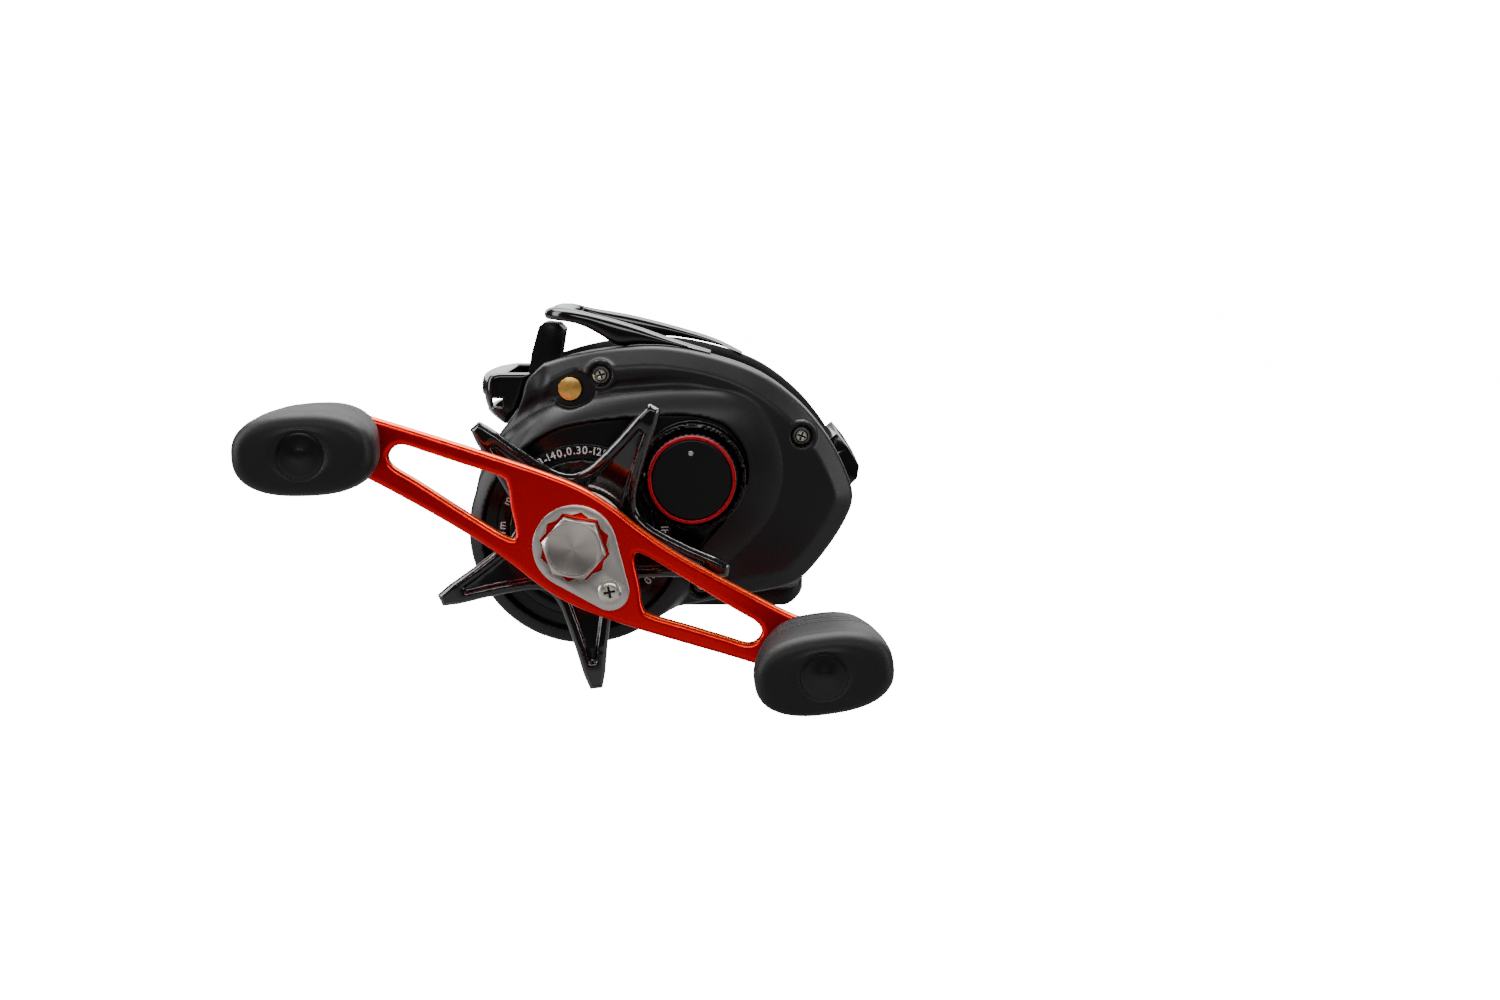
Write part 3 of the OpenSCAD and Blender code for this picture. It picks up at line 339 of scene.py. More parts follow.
def either(a, b, blend=0.3):
    """Smooth union of two fields."""
    return -both(-a, -b, blend)


def cut(a, b, blend=0.3):
    """Field a with field b taken away."""
    return both(a, -b, blend)


def rise(value, start, end):
    """0 before start, 1 after end, smooth between."""
    t = np.clip((value - start) / (end - start), 0, 1)
    return t * t * (3 - 2 * t)


def surface_net(field, low, high, step):
    """Skin of the field's zero surface: points and quads, settled onto the surface itself."""
    counts = [int(math.ceil((b - a) / step)) + 1 for a, b in zip(low, high)]
    axes = [a + step * np.arange(n) for a, n in zip(low, counts)]
    values = field(axes[0][:, None, None], axes[1][None, :, None], axes[2][None, None, :])
    grid = np.broadcast_to(values, counts)
    sign = grid < 0
    total = np.zeros([n - 1 for n in counts] + [3])
    hits = np.zeros([n - 1 for n in counts])
    edges = []
    for axis in range(3):
        here = [slice(None)] * 3
        there = [slice(None)] * 3
        here[axis] = slice(0, -1)
        there[axis] = slice(1, None)
        a, b = grid[tuple(here)], grid[tuple(there)]
        i, j, k = np.nonzero(sign[tuple(here)] != sign[tuple(there)])
        t = a[i, j, k] / (a[i, j, k] - b[i, j, k])
        point = np.stack([i, j, k], 1).astype(float)
        point[:, axis] += t
        edges.append((np.stack([i, j, k], 1), sign[tuple(here)][i, j, k]))
        one, two = (axis + 1) % 3, (axis + 2) % 3
        for da in (0, 1):
            for db in (0, 1):
                cell = np.stack([i, j, k], 1)
                cell[:, one] -= da
                cell[:, two] -= db
                ok = np.all(cell >= 0, 1) & np.all(cell < np.array(counts) - 1, 1)
                c = cell[ok]
                np.add.at(total, tuple(c.T), point[ok])
                np.add.at(hits, tuple(c.T), 1)
    used = hits > 0
    index = np.full(hits.shape, -1)
    index[used] = np.arange(used.sum())
    points = total[used] / hits[used][:, None] * step + np.array(low)
    quads = []
    for axis in range(3):
        corner, start_inside = edges[axis]
        one, two = (axis + 1) % 3, (axis + 2) % 3
        ring = []
        for da, db in ((0, 0), (1, 0), (1, 1), (0, 1)):
            cell = corner.copy()
            cell[:, one] -= da
            cell[:, two] -= db
            ring.append(cell)
        ok = np.ones(len(corner), bool)
        for cell in ring:
            ok &= np.all(cell >= 0, 1) & np.all(cell < np.array(counts) - 1, 1)
        face = np.stack([index[tuple(np.clip(c, 0, None)[ok].T)] for c in ring], 1)
        flip = ~start_inside[ok]
        face[flip] = face[flip][:, ::-1]
        quads.append(face)
    faces = np.concatenate(quads)
    nudge = 0.25 * step
    for _ in range(3):
        value = field(*points.T)
        slope = np.stack([
            (field(*(points + nudge * unit).T) - field(*(points - nudge * unit).T)) / (2 * nudge)
            for unit in np.eye(3)
        ], 1)
        size = np.maximum((slope ** 2).sum(1), 0.05)
        move = (value / size)[:, None] * slope
        points = points - np.clip(move, -0.4 * step, 0.4 * step)
    return points, faces


def reel_to_world(points):
    """Reel space in millimetres to the row frame in metres."""
    points = np.asarray(points, float)
    return np.stack([points[:, 0], -points[:, 2], points[:, 1]], 1) * MM


def make_piece(name, points, faces, mat, body, node=None, smooth=True, slot=None):
    """A mesh piece from reel-space points, riding on a CAD body and standing for a CAD node."""
    mesh = bpy.data.meshes.new(name)
    mesh.from_pydata([tuple(p) for p in reel_to_world(points)], [], [tuple(int(i) for i in f) for f in faces])
    mesh.materials.append(mat)
    mesh.update()
    if smooth:
        mesh.polygons.foreach_set("use_smooth", [True] * len(mesh.polygons))
    obj = bpy.data.objects.new(name, mesh)
    bpy.context.scene.collection.objects.link(obj)
    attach(obj, body)
    if node:
        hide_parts(node)
        slot = slot or slot_of[node]
    return obj


def face_centres(mesh):
    """x, z and h of the middle of every face, in millimetres."""
    centres = np.empty(len(mesh.polygons) * 3)
    mesh.polygons.foreach_get("center", centres)
    x, y, z = centres.reshape(-1, 3).T / MM
    return x, z, -y


slot_of = {s["node"]: s["material_slot"] for s in frame["record"]["subparts"]}
FINE = 0.34


def mould(name, field, low, high, mat, body, node, step=FINE):
    """A piece skinned from its distance field, inside a box of reel space."""
    points, faces = surface_net(field, low, high, step)
    return make_piece(name, points, faces, mat, body, node)


# ---------------------------------------------------------------- the body outlines

BODY_TOP = [(10.6, 9), (17.3, 10.3), (21, 12.4), (25.3, 17.5), (28.7, 22.9), (30.1, 27.2), (29, 31.8),
            (25.6, 38.4), (20, 45.2), (12.5, 50.8), (3.5, 54.1), (-6, 55.8), (-15.5, 55.4), (-22.5, 54.2),
            (-28.3, 52.4)]
FRONT_EDGE = [(-28.3, 52.4), (-31.3, 49.2), (-32.2, 46), (-33.4, 43.4), (-36, 40.2)]
GEARBOX_R = 21.4
gearbox_arc = arc(DRIVE, GEARBOX_R, 160, 300, 60)
cover_line = np.concatenate([
    curve(FRONT_EDGE, closed=False, steps=5)[:-1],
    curve([FRONT_EDGE[-1], (-39.3, 35), gearbox_arc[0]], closed=False, steps=6)[:-1],
    gearbox_arc[:-1],
    curve([gearbox_arc[-1], (-4.5, 6), (3, 7.6), BODY_TOP[0]], closed=False, steps=6)[:-1],
    curve(BODY_TOP, closed=False, steps=6)[:-1],
])
palm_line = np.concatenate([
    curve([BODY_TOP[-1], (-32, 48.6), (-34.6, 42), (-34.2, 32.5), (-30, 22), (-23, 13.6), (-13, 9.4),
           BODY_TOP[0]], closed=False, steps=6)[:-1],
    curve(BODY_TOP, closed=False, steps=6)[:-1],
])
# lip of the hollow that holds the capacity plate and the cast control knob
recess_line = np.concatenate([
    curve([(-32.2, 36.5), (-28.3, 39.3), (-24.0, 41.2), (-17.2, 42.4), (-9.7, 43.1), (-3, 43.5), (2, 43.0),
           (6.4, 41.2), (9.4, 37.4), (10.3, 33.2), (9.7, 29.4), (8.3, 26.6), (5.05, 22.8), (1.2, 18.0),
           (-1.6, 14.2)], closed=False, steps=6)[:-1],
    arc(DRIVE, 18.7, -22, -232, 50),
])


# ---------------------------------------------------------------- side cover

COVER_BASE = 17.03
COVER_TOP = 25.0
COVER_DOME = 140.0
COLLAR_TOP = 26.55
RIM_WIDTH = 1.5
BAND_WIDTH = 3.2
HOLLOW_FLOOR = 24.85
WALL = 1.5
SCREW_HOLE_R = 0.85
SCREW_WELL_R = 2.12
SCREW_TOWER_R = 2.85
PORT_HOLE_R = 2.17
MID = np.array([-2.0, 31.0])     # crown of both covers' shallow domes
screws = [(-17.2, 50.6), (20.3, 39.2), (1.5, 11.0)]
SCREW_FACE = [22.6, 22.7, 22.5]


def cover_field(x, z, h):
    edge = outline_distance(x, z, cover_line)
    recess = outline_distance(x, z, recess_line)
    gearbox = away(x, z, DRIVE)
    spool = away(x, z, SPOOL)
    depth = -edge
    # broad face: a shallow dome with a bevelled band along the rear and top
    face = COVER_TOP - away(x, z, MID) ** 2 / (2 * COVER_DOME)
    behind = rise(x, -31, -27)
    band = np.maximum(BAND_WIDTH - depth, 0) * 0.62 * behind
    face = face - band - 0.3 * rise(BAND_WIDTH + 0.6 - depth, 0, 0.7) * behind * 0.6
    # trough between the top band and the collar
    ridge = recess - 4.6
    trough = np.exp(-((ridge - 1.1) / 1.25) ** 2) * rise(z - 0.55 * x, 33, 46) * rise(-x, -16, 6)
    face = face - 0.9 * trough
    # collar: a flank that climbs to the lip of the hollow, steeper on the front and the top
    flank = 4.4 + 2.2 * rise(x, -2, 12)
    climb = np.clip(1 - recess / flank, 0, 1)
    lip = COLLAR_TOP - 0.4 * rise(x, 4, 12) * rise(z, 12, 24)
    top = face + (lip - face) * (1 - (1 - climb) ** 1.35)
    # the gearbox rim falls away evenly towards its edge
    rim = COLLAR_TOP - 0.62 * np.maximum(gearbox - 18.9, 0) ** 1.15
    beyond = rise(gearbox, GEARBOX_R, GEARBOX_R + RIM_WIDTH)
    rounded = np.minimum(rim, COLLAR_TOP) * (1 - beyond) + top * beyond
    top = np.where(gearbox < GEARBOX_R + RIM_WIDTH, np.maximum(np.minimum(top, COLLAR_TOP), rounded), top)
    shell = both(edge, h - top, 0.7)
    shell = both(shell, COVER_BASE - h, 0.25)
    # hollow
    shell = cut(shell, both(recess, HOLLOW_FLOOR - h, 0.35), 0.35)
    # raised lip round the cast control knob, and the towers in the middle
    lips = np.maximum(np.abs(spool - 9.5) - 0.42, np.abs(h - 25.4) - 2.2)
    groove = np.maximum(np.abs(spool - 9.5) - 0.12, 27.25 - h)
    shell = either(shell, cut(lips, groove, 0.15), 0.3)
    shell = either(shell, np.maximum(gearbox - 13.5, np.abs(h - 24) - 3.2), 0.3)
    shell = either(shell, np.maximum(gearbox - 9, np.abs(h - 26) - 4.2), 0.3)
    shell = either(shell, np.maximum(spool - 6.55, np.abs(h - 26) - 4.2), 0.3)
    # wells for the screws and the oil port
    for place, level in zip(screws, SCREW_FACE):
        d = away(x, z, place)
        shell = either(shell, np.maximum(d - SCREW_TOWER_R, h - level - 0.15), 0.5)
        shell = both(shell, COVER_BASE - h, 0.2)
        shell = cut(shell, np.maximum(d - SCREW_WELL_R, level - 1.3 - h), 0.22)
        shell = cut(shell, d - SCREW_HOLE_R, 0.1)
    port = away(x, z, WORM)
    well = either(port - 3.75, away(x, z, WORM + np.array([1.7, 0.0])) - 3.1, 0.4)
    shell = cut(shell, np.maximum(well, 21.35 - h), 0.3)
    # inside: room for the gears, bearings and knob
    shell = cut(shell, np.maximum(np.maximum(edge + WALL, h - (face - 2.3)), 10 - h), 0.3)
    shell = cut(shell, np.maximum(gearbox - 20.35, h - 23.4), 0.3)
    shell = cut(shell, np.maximum(gearbox - 7.02, 24.6 - h), 0.1)
    shell = cut(shell, np.maximum(gearbox - 5.2, 10 - h), 0.1)
    shell = cut(shell, np.maximum(spool - 4.9, h - 27.2), 0.1)
    shell = cut(shell, np.maximum(spool - 4.5, 26 - h), 0.1)
    shell = cut(shell, np.maximum(port - PORT_HOLE_R, 18 - h), 0.1)
    return shell


cover = mould("side_cover_shell", cover_field, (-43.4, -1.3, 15.6), (31.4, 57.4, 31.0), CHARCOAL, "body",
              "side_cover")
# the floor and wall of the hollow, and the towers in it, are gloss black
cover.data.materials.append(GLOSS)
face_x, face_z, face_h = face_centres(cover.data)
hollow = (outline_distance(face_x, face_z, recess_line) < -0.1) & (face_h > 24.0)
cover.data.polygons.foreach_set("material_index", hollow.astype(np.int32))


# ---------------------------------------------------------------- front cowl

COWL_HALF = 16.8
cowl_profile = np.concatenate([
    curve([(-39.3, 50.7), (-40.9, 50.0), (-41.5, 48.3), (-41.4, 45.5), (-40.5, 43.2), (-38.9, 41.6),
           (-36.42, 39.9)], closed=False, steps=5)[:-1],
    [(-36.42, 39.9), (-33.62, 43.4), (-32.42, 46), (-31.52, 49.2), (-30.22, 50.7)],
])


def cowl_front(h):
    """x of the nose's front, which curves back towards both sides."""
    return -41.5 + 2.6 * (np.abs(h) / COWL_HALF) ** 2.4


def cowl_field(x, z, h):
    slide = cowl_front(h) + 41.5
    profile = outline_distance(x - slide * rise(-x, 33, 37), z, cowl_profile)
    skin = both(both(outline_distance(x, z, cowl_profile), profile, 0.8), np.abs(h) - COWL_HALF, 1.0)
    # a waist across the top, and the hollow behind the skin
    inner = both(profile + 1.3, np.abs(h) - 15.2, 0.6)
    inner = either(inner, np.maximum(profile + 1.3, -34 - x) + np.maximum(np.abs(h) - 13.5, 0), 0.3)
    body = cut(skin, inner, 0.3)
    body = cut(body, np.maximum(np.maximum(-36.2 - x, np.abs(h) - 13.5), 47 - z), 0.8)
    window = np.maximum(np.maximum(np.abs(h) - 13.2, np.abs(z - 44.85) - 1.25), x + 37)
    # short slot through the handle side, in line with the window
    side_slot = np.maximum(np.maximum(np.abs(x + 37.25) - 1.05, np.abs(z - 44.9) - 0.85), 13 - h)
    return cut(cut(body, window, 0.5), side_slot, 0.25)


mould("front_cowl_shell", cowl_field, (-42.6, 38.6, -17.8), (-28.8, 51.8, 17.8), HOOD, "body", "front_cowl",
      step=0.8 * FINE)


# ---------------------------------------------------------------- top hood

# the middle line of the bar, from the handle side to the palm side: x, y, top and bottom
HOOD_PATH = [
    (3.2, -15.7, 54.9, 54.35), (-4, -15.8, 57.1, 55.75), (-10, -15.9, 59.2, 56.05), (-14.2, -16, 60.5, 55.75),
    (-17.6, -16, 61.4, 57.8), (-21.3, -15.9, 62.3, 59.7), (-24.8, -14.6, 62.9, 60.4),
    (-26.3, -11, 62.9, 60.5), (-26.6, 0, 62.7, 60.5), (-26.3, 11, 62.9, 60.6), (-24.8, 14.6, 62.6, 60.4),
    (-21.5, 15.9, 61.8, 59.8), (-17.2, 16, 61, 57.6), (-12.5, 16, 60.1, 55.9), (-5, 15.9, 58.2, 55.95),
    (3.5, 15.7, 55.6, 54.4), (9, 15.5, 52.9, 52.45),
]
HOOD_HALF_WIDTH = 2.3
HOOD_CROWN = 0.35


def sweep_ring(place, ahead, width, sides=20):
    """Rounded cross-section of the hood at one point of its path, in world millimetres."""
    across = np.array([-ahead[1], ahead[0]]) / math.hypot(ahead[0], ahead[1])
    height = place[2] - place[3]
    ring = []
    for k in range(sides):
        angle = 2 * math.pi * (k + 0.5) / sides
        c, s = math.cos(angle), math.sin(angle)
        side = width * math.copysign(abs(c) ** 0.5, c)
        up = 0.5 * height * math.copysign(abs(s) ** 0.55, s)
        level = place[3] + 0.5 * height + up
        if s > 0:
            # the upper half is crowned
            level = level - HOOD_CROWN + HOOD_CROWN * (1 - (side / width) ** 2)
        ring.append((place[0] + side * across[0], place[1] + side * across[1], level))
    return ring


def tube_faces(count, sides, first=0):
    """Faces of a closed tube through count rings of points, and its two ends."""
    faces = []
    for i in range(count - 1):
        for k in range(sides):
            a, b = first + i * sides + k, first + i * sides + (k + 1) % sides
            faces.append((a, b, b + sides, a + sides))
    faces.append(tuple(first + k for k in range(sides))[::-1])
    faces.append(tuple(first + (count - 1) * sides + k for k in range(sides)))
    return faces


def swept_hood():
    path = curve(HOOD_PATH, closed=False, steps=8)
    rings = []
    for i, place in enumerate(path):
        ahead = path[min(i + 1, len(path) - 1)] - path[max(i - 1, 0)]
        rings.append(sweep_ring(place, ahead, HOOD_HALF_WIDTH))
    points = np.array([p for ring in rings for p in ring])
    reel = np.stack([points[:, 0], points[:, 2], -points[:, 1]], 1)
    return make_piece("top_hood_bar", reel, tube_faces(len(rings), len(rings[0])), HOOD, "body", "top_hood")


swept_hood()


# ---------------------------------------------------------------- palm plate

PALM_TOP = 24.9
PALM_DOME = 59.2
DIAL_SEAT_R = 10.25
palm_screws = [(-27.5, 43), (-22, 17.5), (12, 14)]
LOCK = middle("palm_lock")


def palm_face(x, z):
    """Height of the palm plate's shallow dome above the reel's middle plane."""
    return PALM_TOP - away(x, z, MID) ** 2 / (2 * PALM_DOME)


def palm_field(x, z, h):
    out = -h
    edge = outline_distance(x, z, palm_line)
    face = palm_face(x, z)
    spool = away(x, z, SPOOL)
    band = np.maximum(2.6 + edge, 0) * 0.45
    # a shallow line pressed in all round, a little in from the edge
    crease = 0.4 * np.exp(-((edge + 5.2) / 0.7) ** 2)
    top = face - band - crease
    shell = both(edge, out - top, 1.2)
    shell = both(shell, COVER_BASE - out, 0.25)
    shell = cut(shell, np.maximum(np.maximum(edge + WALL, out - (face - 1.9)), 10 - out), 0.3)
    # the seat of the brake dial
    shell = either(shell, np.maximum(spool - 11.6, np.abs(out - 22.1) - 1.5), 0.4)
    shell = cut(shell, np.maximum(spool - DIAL_SEAT_R, 22.1 - out), 0.3)
    # towers and wells for the screws
    for place in palm_screws:
        d = away(x, z, place)
        shell = either(shell, np.maximum(d - 2.6, np.abs(out - 18.9) - 1.85), 0.3)
        shell = cut(shell, np.maximum(d - 1.8, 20.6 - out), 0.25)
        shell = cut(shell, d - SCREW_HOLE_R, 0.1)
    # the boss of the lock, and the tube that holds the spool's bearing
    d = away(x, z, LOCK)
    shell = either(shell, np.maximum(d - 4, np.abs(out - 19.2) - 2.15), 0.6)
    shell = cut(shell, d - 1.58, 0.1)
    shell = either(shell, np.maximum(np.maximum(spool - 6, 4.52 - spool), np.abs(out - 19.1) - 2.4), 0.2)
    return shell


mould("palm_plate_shell", palm_field, (-36, 6.2, -26.2), (31.4, 57.4, -15.6), CHARCOAL, "body", "palm_plate")


# ---------------------------------------------------------------- star drag wheel

STAR_ARMS = 5
STAR_START = 60
STAR_TIP = 27.95
# half of an arm's outline, from its tip to the hub: radius and half width
STAR_SIDE = [(STAR_TIP, 1.15), (25, 2.0), (20, 2.95), (16, 3.9), (12, 5.0), (4, 6.6)]
star_arm = np.array(STAR_SIDE + [(r, -w) for r, w in STAR_SIDE[::-1]])


def star_field(x, z, h):
    dx, dz = x - DRIVE[0], z - DRIVE[1]
    radius = np.hypot(dx, dz)
    pitch = 2 * math.pi / STAR_ARMS
    bearing = np.arctan2(dz, dx) - math.radians(STAR_START)
    bearing = bearing - pitch * np.round(bearing / pitch)
    along, across = radius * np.cos(bearing), radius * np.sin(bearing)
    arm = outline_distance(along, across, star_arm)
    edge = either(arm, radius - 11.1, 3.2)
    top = np.interp(radius, [6, 9.5, 12, 15.5, 20, 24.5, STAR_TIP],
                    [33.4, 33.9, 34.7, 35.6, 36.3, 36.6, 36.3])
    low = np.interp(radius, [11, 12, 15.5, 20, 24.5, STAR_TIP], [31.6, 32.4, 33.2, 33.7, 34.0, 34.5])
    # sides slope, and a shallow hollow with a pointed end runs up each arm
    slope = 1.1 * np.maximum(0.75 + edge, 0)
    pocket = np.maximum(arm + 1.55, np.maximum(radius - 23.2, 9.5 - radius))
    hollow = np.clip(-pocket * 1.3, 0, 0.75)
    body = both(edge, h - (top - slope - hollow), 0.2)
    body = both(body, low + 0.5 * slope - h, 0.25)
    hub = np.maximum(radius - 11.6, np.abs(h - 30.7) - 2.9)
    body = either(body, hub, 0.5)
    body = either(body, np.maximum(radius - 7.6, np.abs(h - 35) - 1.95), 0.4)
    body = cut(body, np.maximum(radius - 9.4, h - 30.9), 0.1)
    return cut(body, radius - 5.23, 0.1)


STAR_SPACE = 28.9     # how far the field is skinned from the drive axis
mould("star_wheel_moulding", star_field, (*(DRIVE - STAR_SPACE), 27.2), (*(DRIVE + STAR_SPACE), 37.6), STAR,
      "star", "star_wheel")


# ---------------------------------------------------------------- handle

# one long edge of the handle, and one of its two windows, along and across it from the drive axis
HALF_EDGE = [(-53.1, 0.4), (-51.4, 4.6), (-47.3, 6.2), (-42, 6.9), (-33, 7.85), (-22, 9), (-11, 9.95),
             (-3, 10.1), (3.4, 9.1), (9.3, 7.5), (17.6, 5.8), (29.8, 4.4), (41.7, 3.6), (47.6, 5.1),
             (51.6, 3.4)]
WINDOW = [(-36.9, 2.0), (-35.6, 4.3), (-31, 4.9), (-24.6, 5.5), (-17.2, 6.2), (-15.2, 5.2), (-13.2, 1.9),
          (-10.6, -2.0), (-11.6, -3.3), (-19.6, -2.2), (-30, -0.5), (-35.4, 0.3)]
HANDLE_T = 3.0
HANDLE_H = 41.6
SWEEP = 1.4
KNOB_REACH = 47.5
SHAFT_HOLE_R = 2.93
POST_HOLE_R = 2.24
handle_line = curve(HALF_EDGE + [(-a, -b) for a, b in HALF_EDGE], steps=6)
window_line = curve(WINDOW, steps=5)
turn = math.radians(HANDLE_ANGLE)


def handle_field(u, v, h):
    """The plate in handle space: outline and windows with broken edges, bent towards the reel at its ends."""
    rest = h + SWEEP * rise(np.abs(u), 12, 36) - HANDLE_H
    outline = outline_distance(u, v, handle_line)
    for sign in (1, -1):
        outline = np.maximum(outline, -outline_distance(sign * u, sign * v, window_line))
    for centre_u, radius in ((0, SHAFT_HOLE_R), (-KNOB_REACH, POST_HOLE_R), (KNOB_REACH, POST_HOLE_R)):
        outline = np.maximum(outline, radius - np.hypot(u - centre_u, v))
    slab = np.abs(rest - HANDLE_T / 2) - HANDLE_T / 2
    # chamfered edges, a little rounded
    chamfer = (outline + slab + 0.55) * 0.7071
    return both(both(outline, slab, 0.3), chamfer, 0.3)


def handle_mesh():
    step = 0.8 * FINE
    points, faces = surface_net(handle_field, (-56.5, -11.2, 39.4), (56.5, 11.2, 45.4), step)
    u, v, h = points.T
    x = DRIVE[0] + u * math.cos(turn) - v * math.sin(turn)
    z = DRIVE[1] + u * math.sin(turn) + v * math.cos(turn)
    return make_piece("handle_plate", np.stack([x, z, h], 1), faces, RED, "drive", "handle_arm")


handle_mesh()


# ---------------------------------------------------------------- knobs

# height above the base, half length and half thickness
KNOB_SECTIONS = [(0, 8.2, 5.6), (0.6, 9.0, 6.4), (2.5, 9.9, 7.3), (8, 10.9, 7.6), (14, 11.7, 7.6),
                 (18.5, 12, 7.3), (19.8, 11.95, 7.1)]
# from the rim of the end face to its middle: share of the rim's own outline, radius and step in height
KNOB_CAP = 4.05
END_FACE = [(0.7, 0, -0.12), (0.35, 0, -0.02), (0, KNOB_CAP + 0.3, 0.0), (0, KNOB_CAP + 0.12, -0.35),
            (0, KNOB_CAP - 0.06, -0.4), (0, KNOB_CAP - 0.3, -0.3), (0, KNOB_CAP - 0.8, -0.24), (0, 1.5, -0.2),
            (0, 1.1, -0.05), (0, 0.6, 0.0)]
KNOB_ROUND = 3.2
KNOB_SQUARE = 2.5
KNOB_HOLE_R = 2.3
KNOB_SIDES = 96
GROOVES = 5
GROOVE_START = 5.6
GROOVE_PITCH = 1.75
GROOVE_DEPTH = 0.6


def squircle(a, b, power, angle):
    """Point of a squared ellipse with half axes a and b."""
    c, s = math.cos(angle), math.sin(angle)
    return a * math.copysign(abs(c) ** (2 / power), c), b * math.copysign(abs(s) ** (2 / power), s)


def knob_mesh(name, centre, node, body, tilt):
    """Paddle knob: a long rounded section that widens outwards, with fine grooves and a round end cap."""
    base, end = span(node)
    length = end - base
    rings = []
    sections = np.array(KNOB_SECTIONS, float)
    heights = [np.linspace(0, 1.2, 5), np.arange(1.5, 13.6, 0.13), np.linspace(13.8, length - KNOB_ROUND, 16)]
    for w in np.concatenate(heights):
        a = np.interp(w, sections[:, 0], sections[:, 1])
        b = np.interp(w, sections[:, 0], sections[:, 2])
        phase = (w - GROOVE_START) / GROOVE_PITCH
        groove = 0
        if -0.3 < phase < GROOVES - 0.7:
            groove = GROOVE_DEPTH * max(0, math.cos(2 * math.pi * phase)) ** 3
        rings.append((base + w, a, b, groove))
    a, b = sections[-1, 1:]
    for k in range(1, 11):
        angle = math.pi / 2 * k / 10
        inward = 0.8 * KNOB_ROUND * (1 - math.cos(angle))
        height = end - 0.25 - (KNOB_ROUND - 0.25) * (1 - math.sin(angle))
        rings.append((height, a - inward, b - inward, 0))
    points = []
    lean = math.radians(tilt)

    def put(u, v, h):
        points.append((centre[0] + u * math.cos(lean) - v * math.sin(lean),
                       centre[1] + u * math.sin(lean) + v * math.cos(lean), h))

    for h, a, b, groove in rings:
        for k in range(KNOB_SIDES):
            angle = 2 * math.pi * k / KNOB_SIDES
            u, v = squircle(a, b, KNOB_SQUARE, angle)
            # the grooves run across the two broad sides of the paddle
            v -= math.copysign(groove * rise(abs(v), 0.5 * b, 0.9 * b), v) if groove else 0
            put(u, v, h)
    # end face: flat, with a shadow groove round the cap and a small raised middle
    rim_a, rim_b = rings[-1][1:3]
    for share, radius, drop in END_FACE:
        for k in range(KNOB_SIDES):
            angle = 2 * math.pi * k / KNOB_SIDES
            u, v = squircle(rim_a, rim_b, KNOB_SQUARE, angle)
            bearing = math.atan2(v, u)
            r = KNOB_CAP + 0.25 if share else radius
            target = (r * math.cos(bearing), r * math.sin(bearing))
            u = share * u + (1 - share) * target[0]
            v = share * v + (1 - share) * target[1]
            put(u, v, end + drop)
    count = len(points) // KNOB_SIDES
    faces = []
    for i in range(count - 1):
        for k in range(KNOB_SIDES):
            a, b = i * KNOB_SIDES + k, i * KNOB_SIDES + (k + 1) % KNOB_SIDES
            faces.append((a, b, b + KNOB_SIDES, a + KNOB_SIDES))
    faces.append(tuple((count - 1) * KNOB_SIDES + k for k in range(KNOB_SIDES)))
    # underside, with the hole that the post goes through
    start = len(points)
    for k in range(KNOB_SIDES):
        angle = 2 * math.pi * k / KNOB_SIDES
        u, v = squircle(rings[0][1], rings[0][2], KNOB_SQUARE, angle)
        bearing = math.atan2(v, u) + lean
        points.append((centre[0] + KNOB_HOLE_R * math.cos(bearing),
                       centre[1] + KNOB_HOLE_R * math.sin(bearing), base))
    for k in range(KNOB_SIDES):
        faces.append((k, start + k, start + (k + 1) % KNOB_SIDES, (k + 1) % KNOB_SIDES))
    grip = make_piece(name, points, faces, RUBBER, body, node)
    grip.data.materials.append(CAP)
    x, z, h = face_centres(grip.data)
    on_cap = (away(x, z, centre) < KNOB_CAP - 0.05) & (h > end - 0.5)
    grip.data.polygons.foreach_set("material_index", on_cap.astype(np.int32))
    return grip


knob_mesh("knob_front_grip", KNOB_FRONT, "knob_front", "front_knob", 2)
knob_mesh("knob_rear_grip", KNOB_REAR, "knob_rear", "rear_knob", 8)


# ---------------------------------------------------------------- cast control knob

def lathe(name, profile, centre, mat, body, node=None, sides=96, wobble=None, slot=None):
    """Round piece from (radius, h) pairs; wobble(angle, radius, h) adds to the radius."""
    points, faces = [], []
    for r, h in profile:
        for k in range(sides):
            angle = 2 * math.pi * k / sides
            radius = r + (wobble(angle, r, h) if wobble else 0)
            points.append((centre[0] + radius * math.cos(angle), centre[1] + radius * math.sin(angle), h))
    rows = len(profile)
    for i in range(rows):
        if profile[i][0] == profile[(i + 1) % rows][0] == 0:
            continue
        for k in range(sides):
            a, b = i * sides + k, i * sides + (k + 1) % sides
            c = ((i + 1) % rows) * sides
            faces.append((a, b, c + (k + 1) % sides, c + k))
    return make_piece(name, points, faces, mat, body, node, slot=slot)


KNURLS = 48


# radius and height round the outside, then back through the hollow
CAST_KNOB = [(6.62, 27.95), (7.9, 27.95), (8.1, 28.2), (8.12, 28.4), (8.12, 31.1), (8.05, 31.22),
             (7.46, 31.24), (7.45, 31.3), (7.44, 31.85), (7.3, 32.06), (7.05, 32.1), (6.9, 32.1),
             (3.0, 32.1), (0.0, 32.1), (0.0, 31.05), (6.62, 31.0)]
CAST_DOT = [(0.0, 32.12), (0.42, 32.12), (0.5, 32.08), (0.0, 32.08)]
CAST_DOT_PLACE = SPOOL + np.array([-0.2, 4.9])


def knurl(angle, radius, h):
    """Change in radius that makes the fine ribs on the knob's side."""
    return 0.2 * abs(math.cos(KNURLS * angle / 2)) - 0.1 if radius > 8.0 and 28.3 < h < 31.2 else 0


lathe("cast_knob_moulding", CAST_KNOB, SPOOL, SATIN_BLACK, "cast_control", "cast_knob", sides=288,
      wobble=knurl)
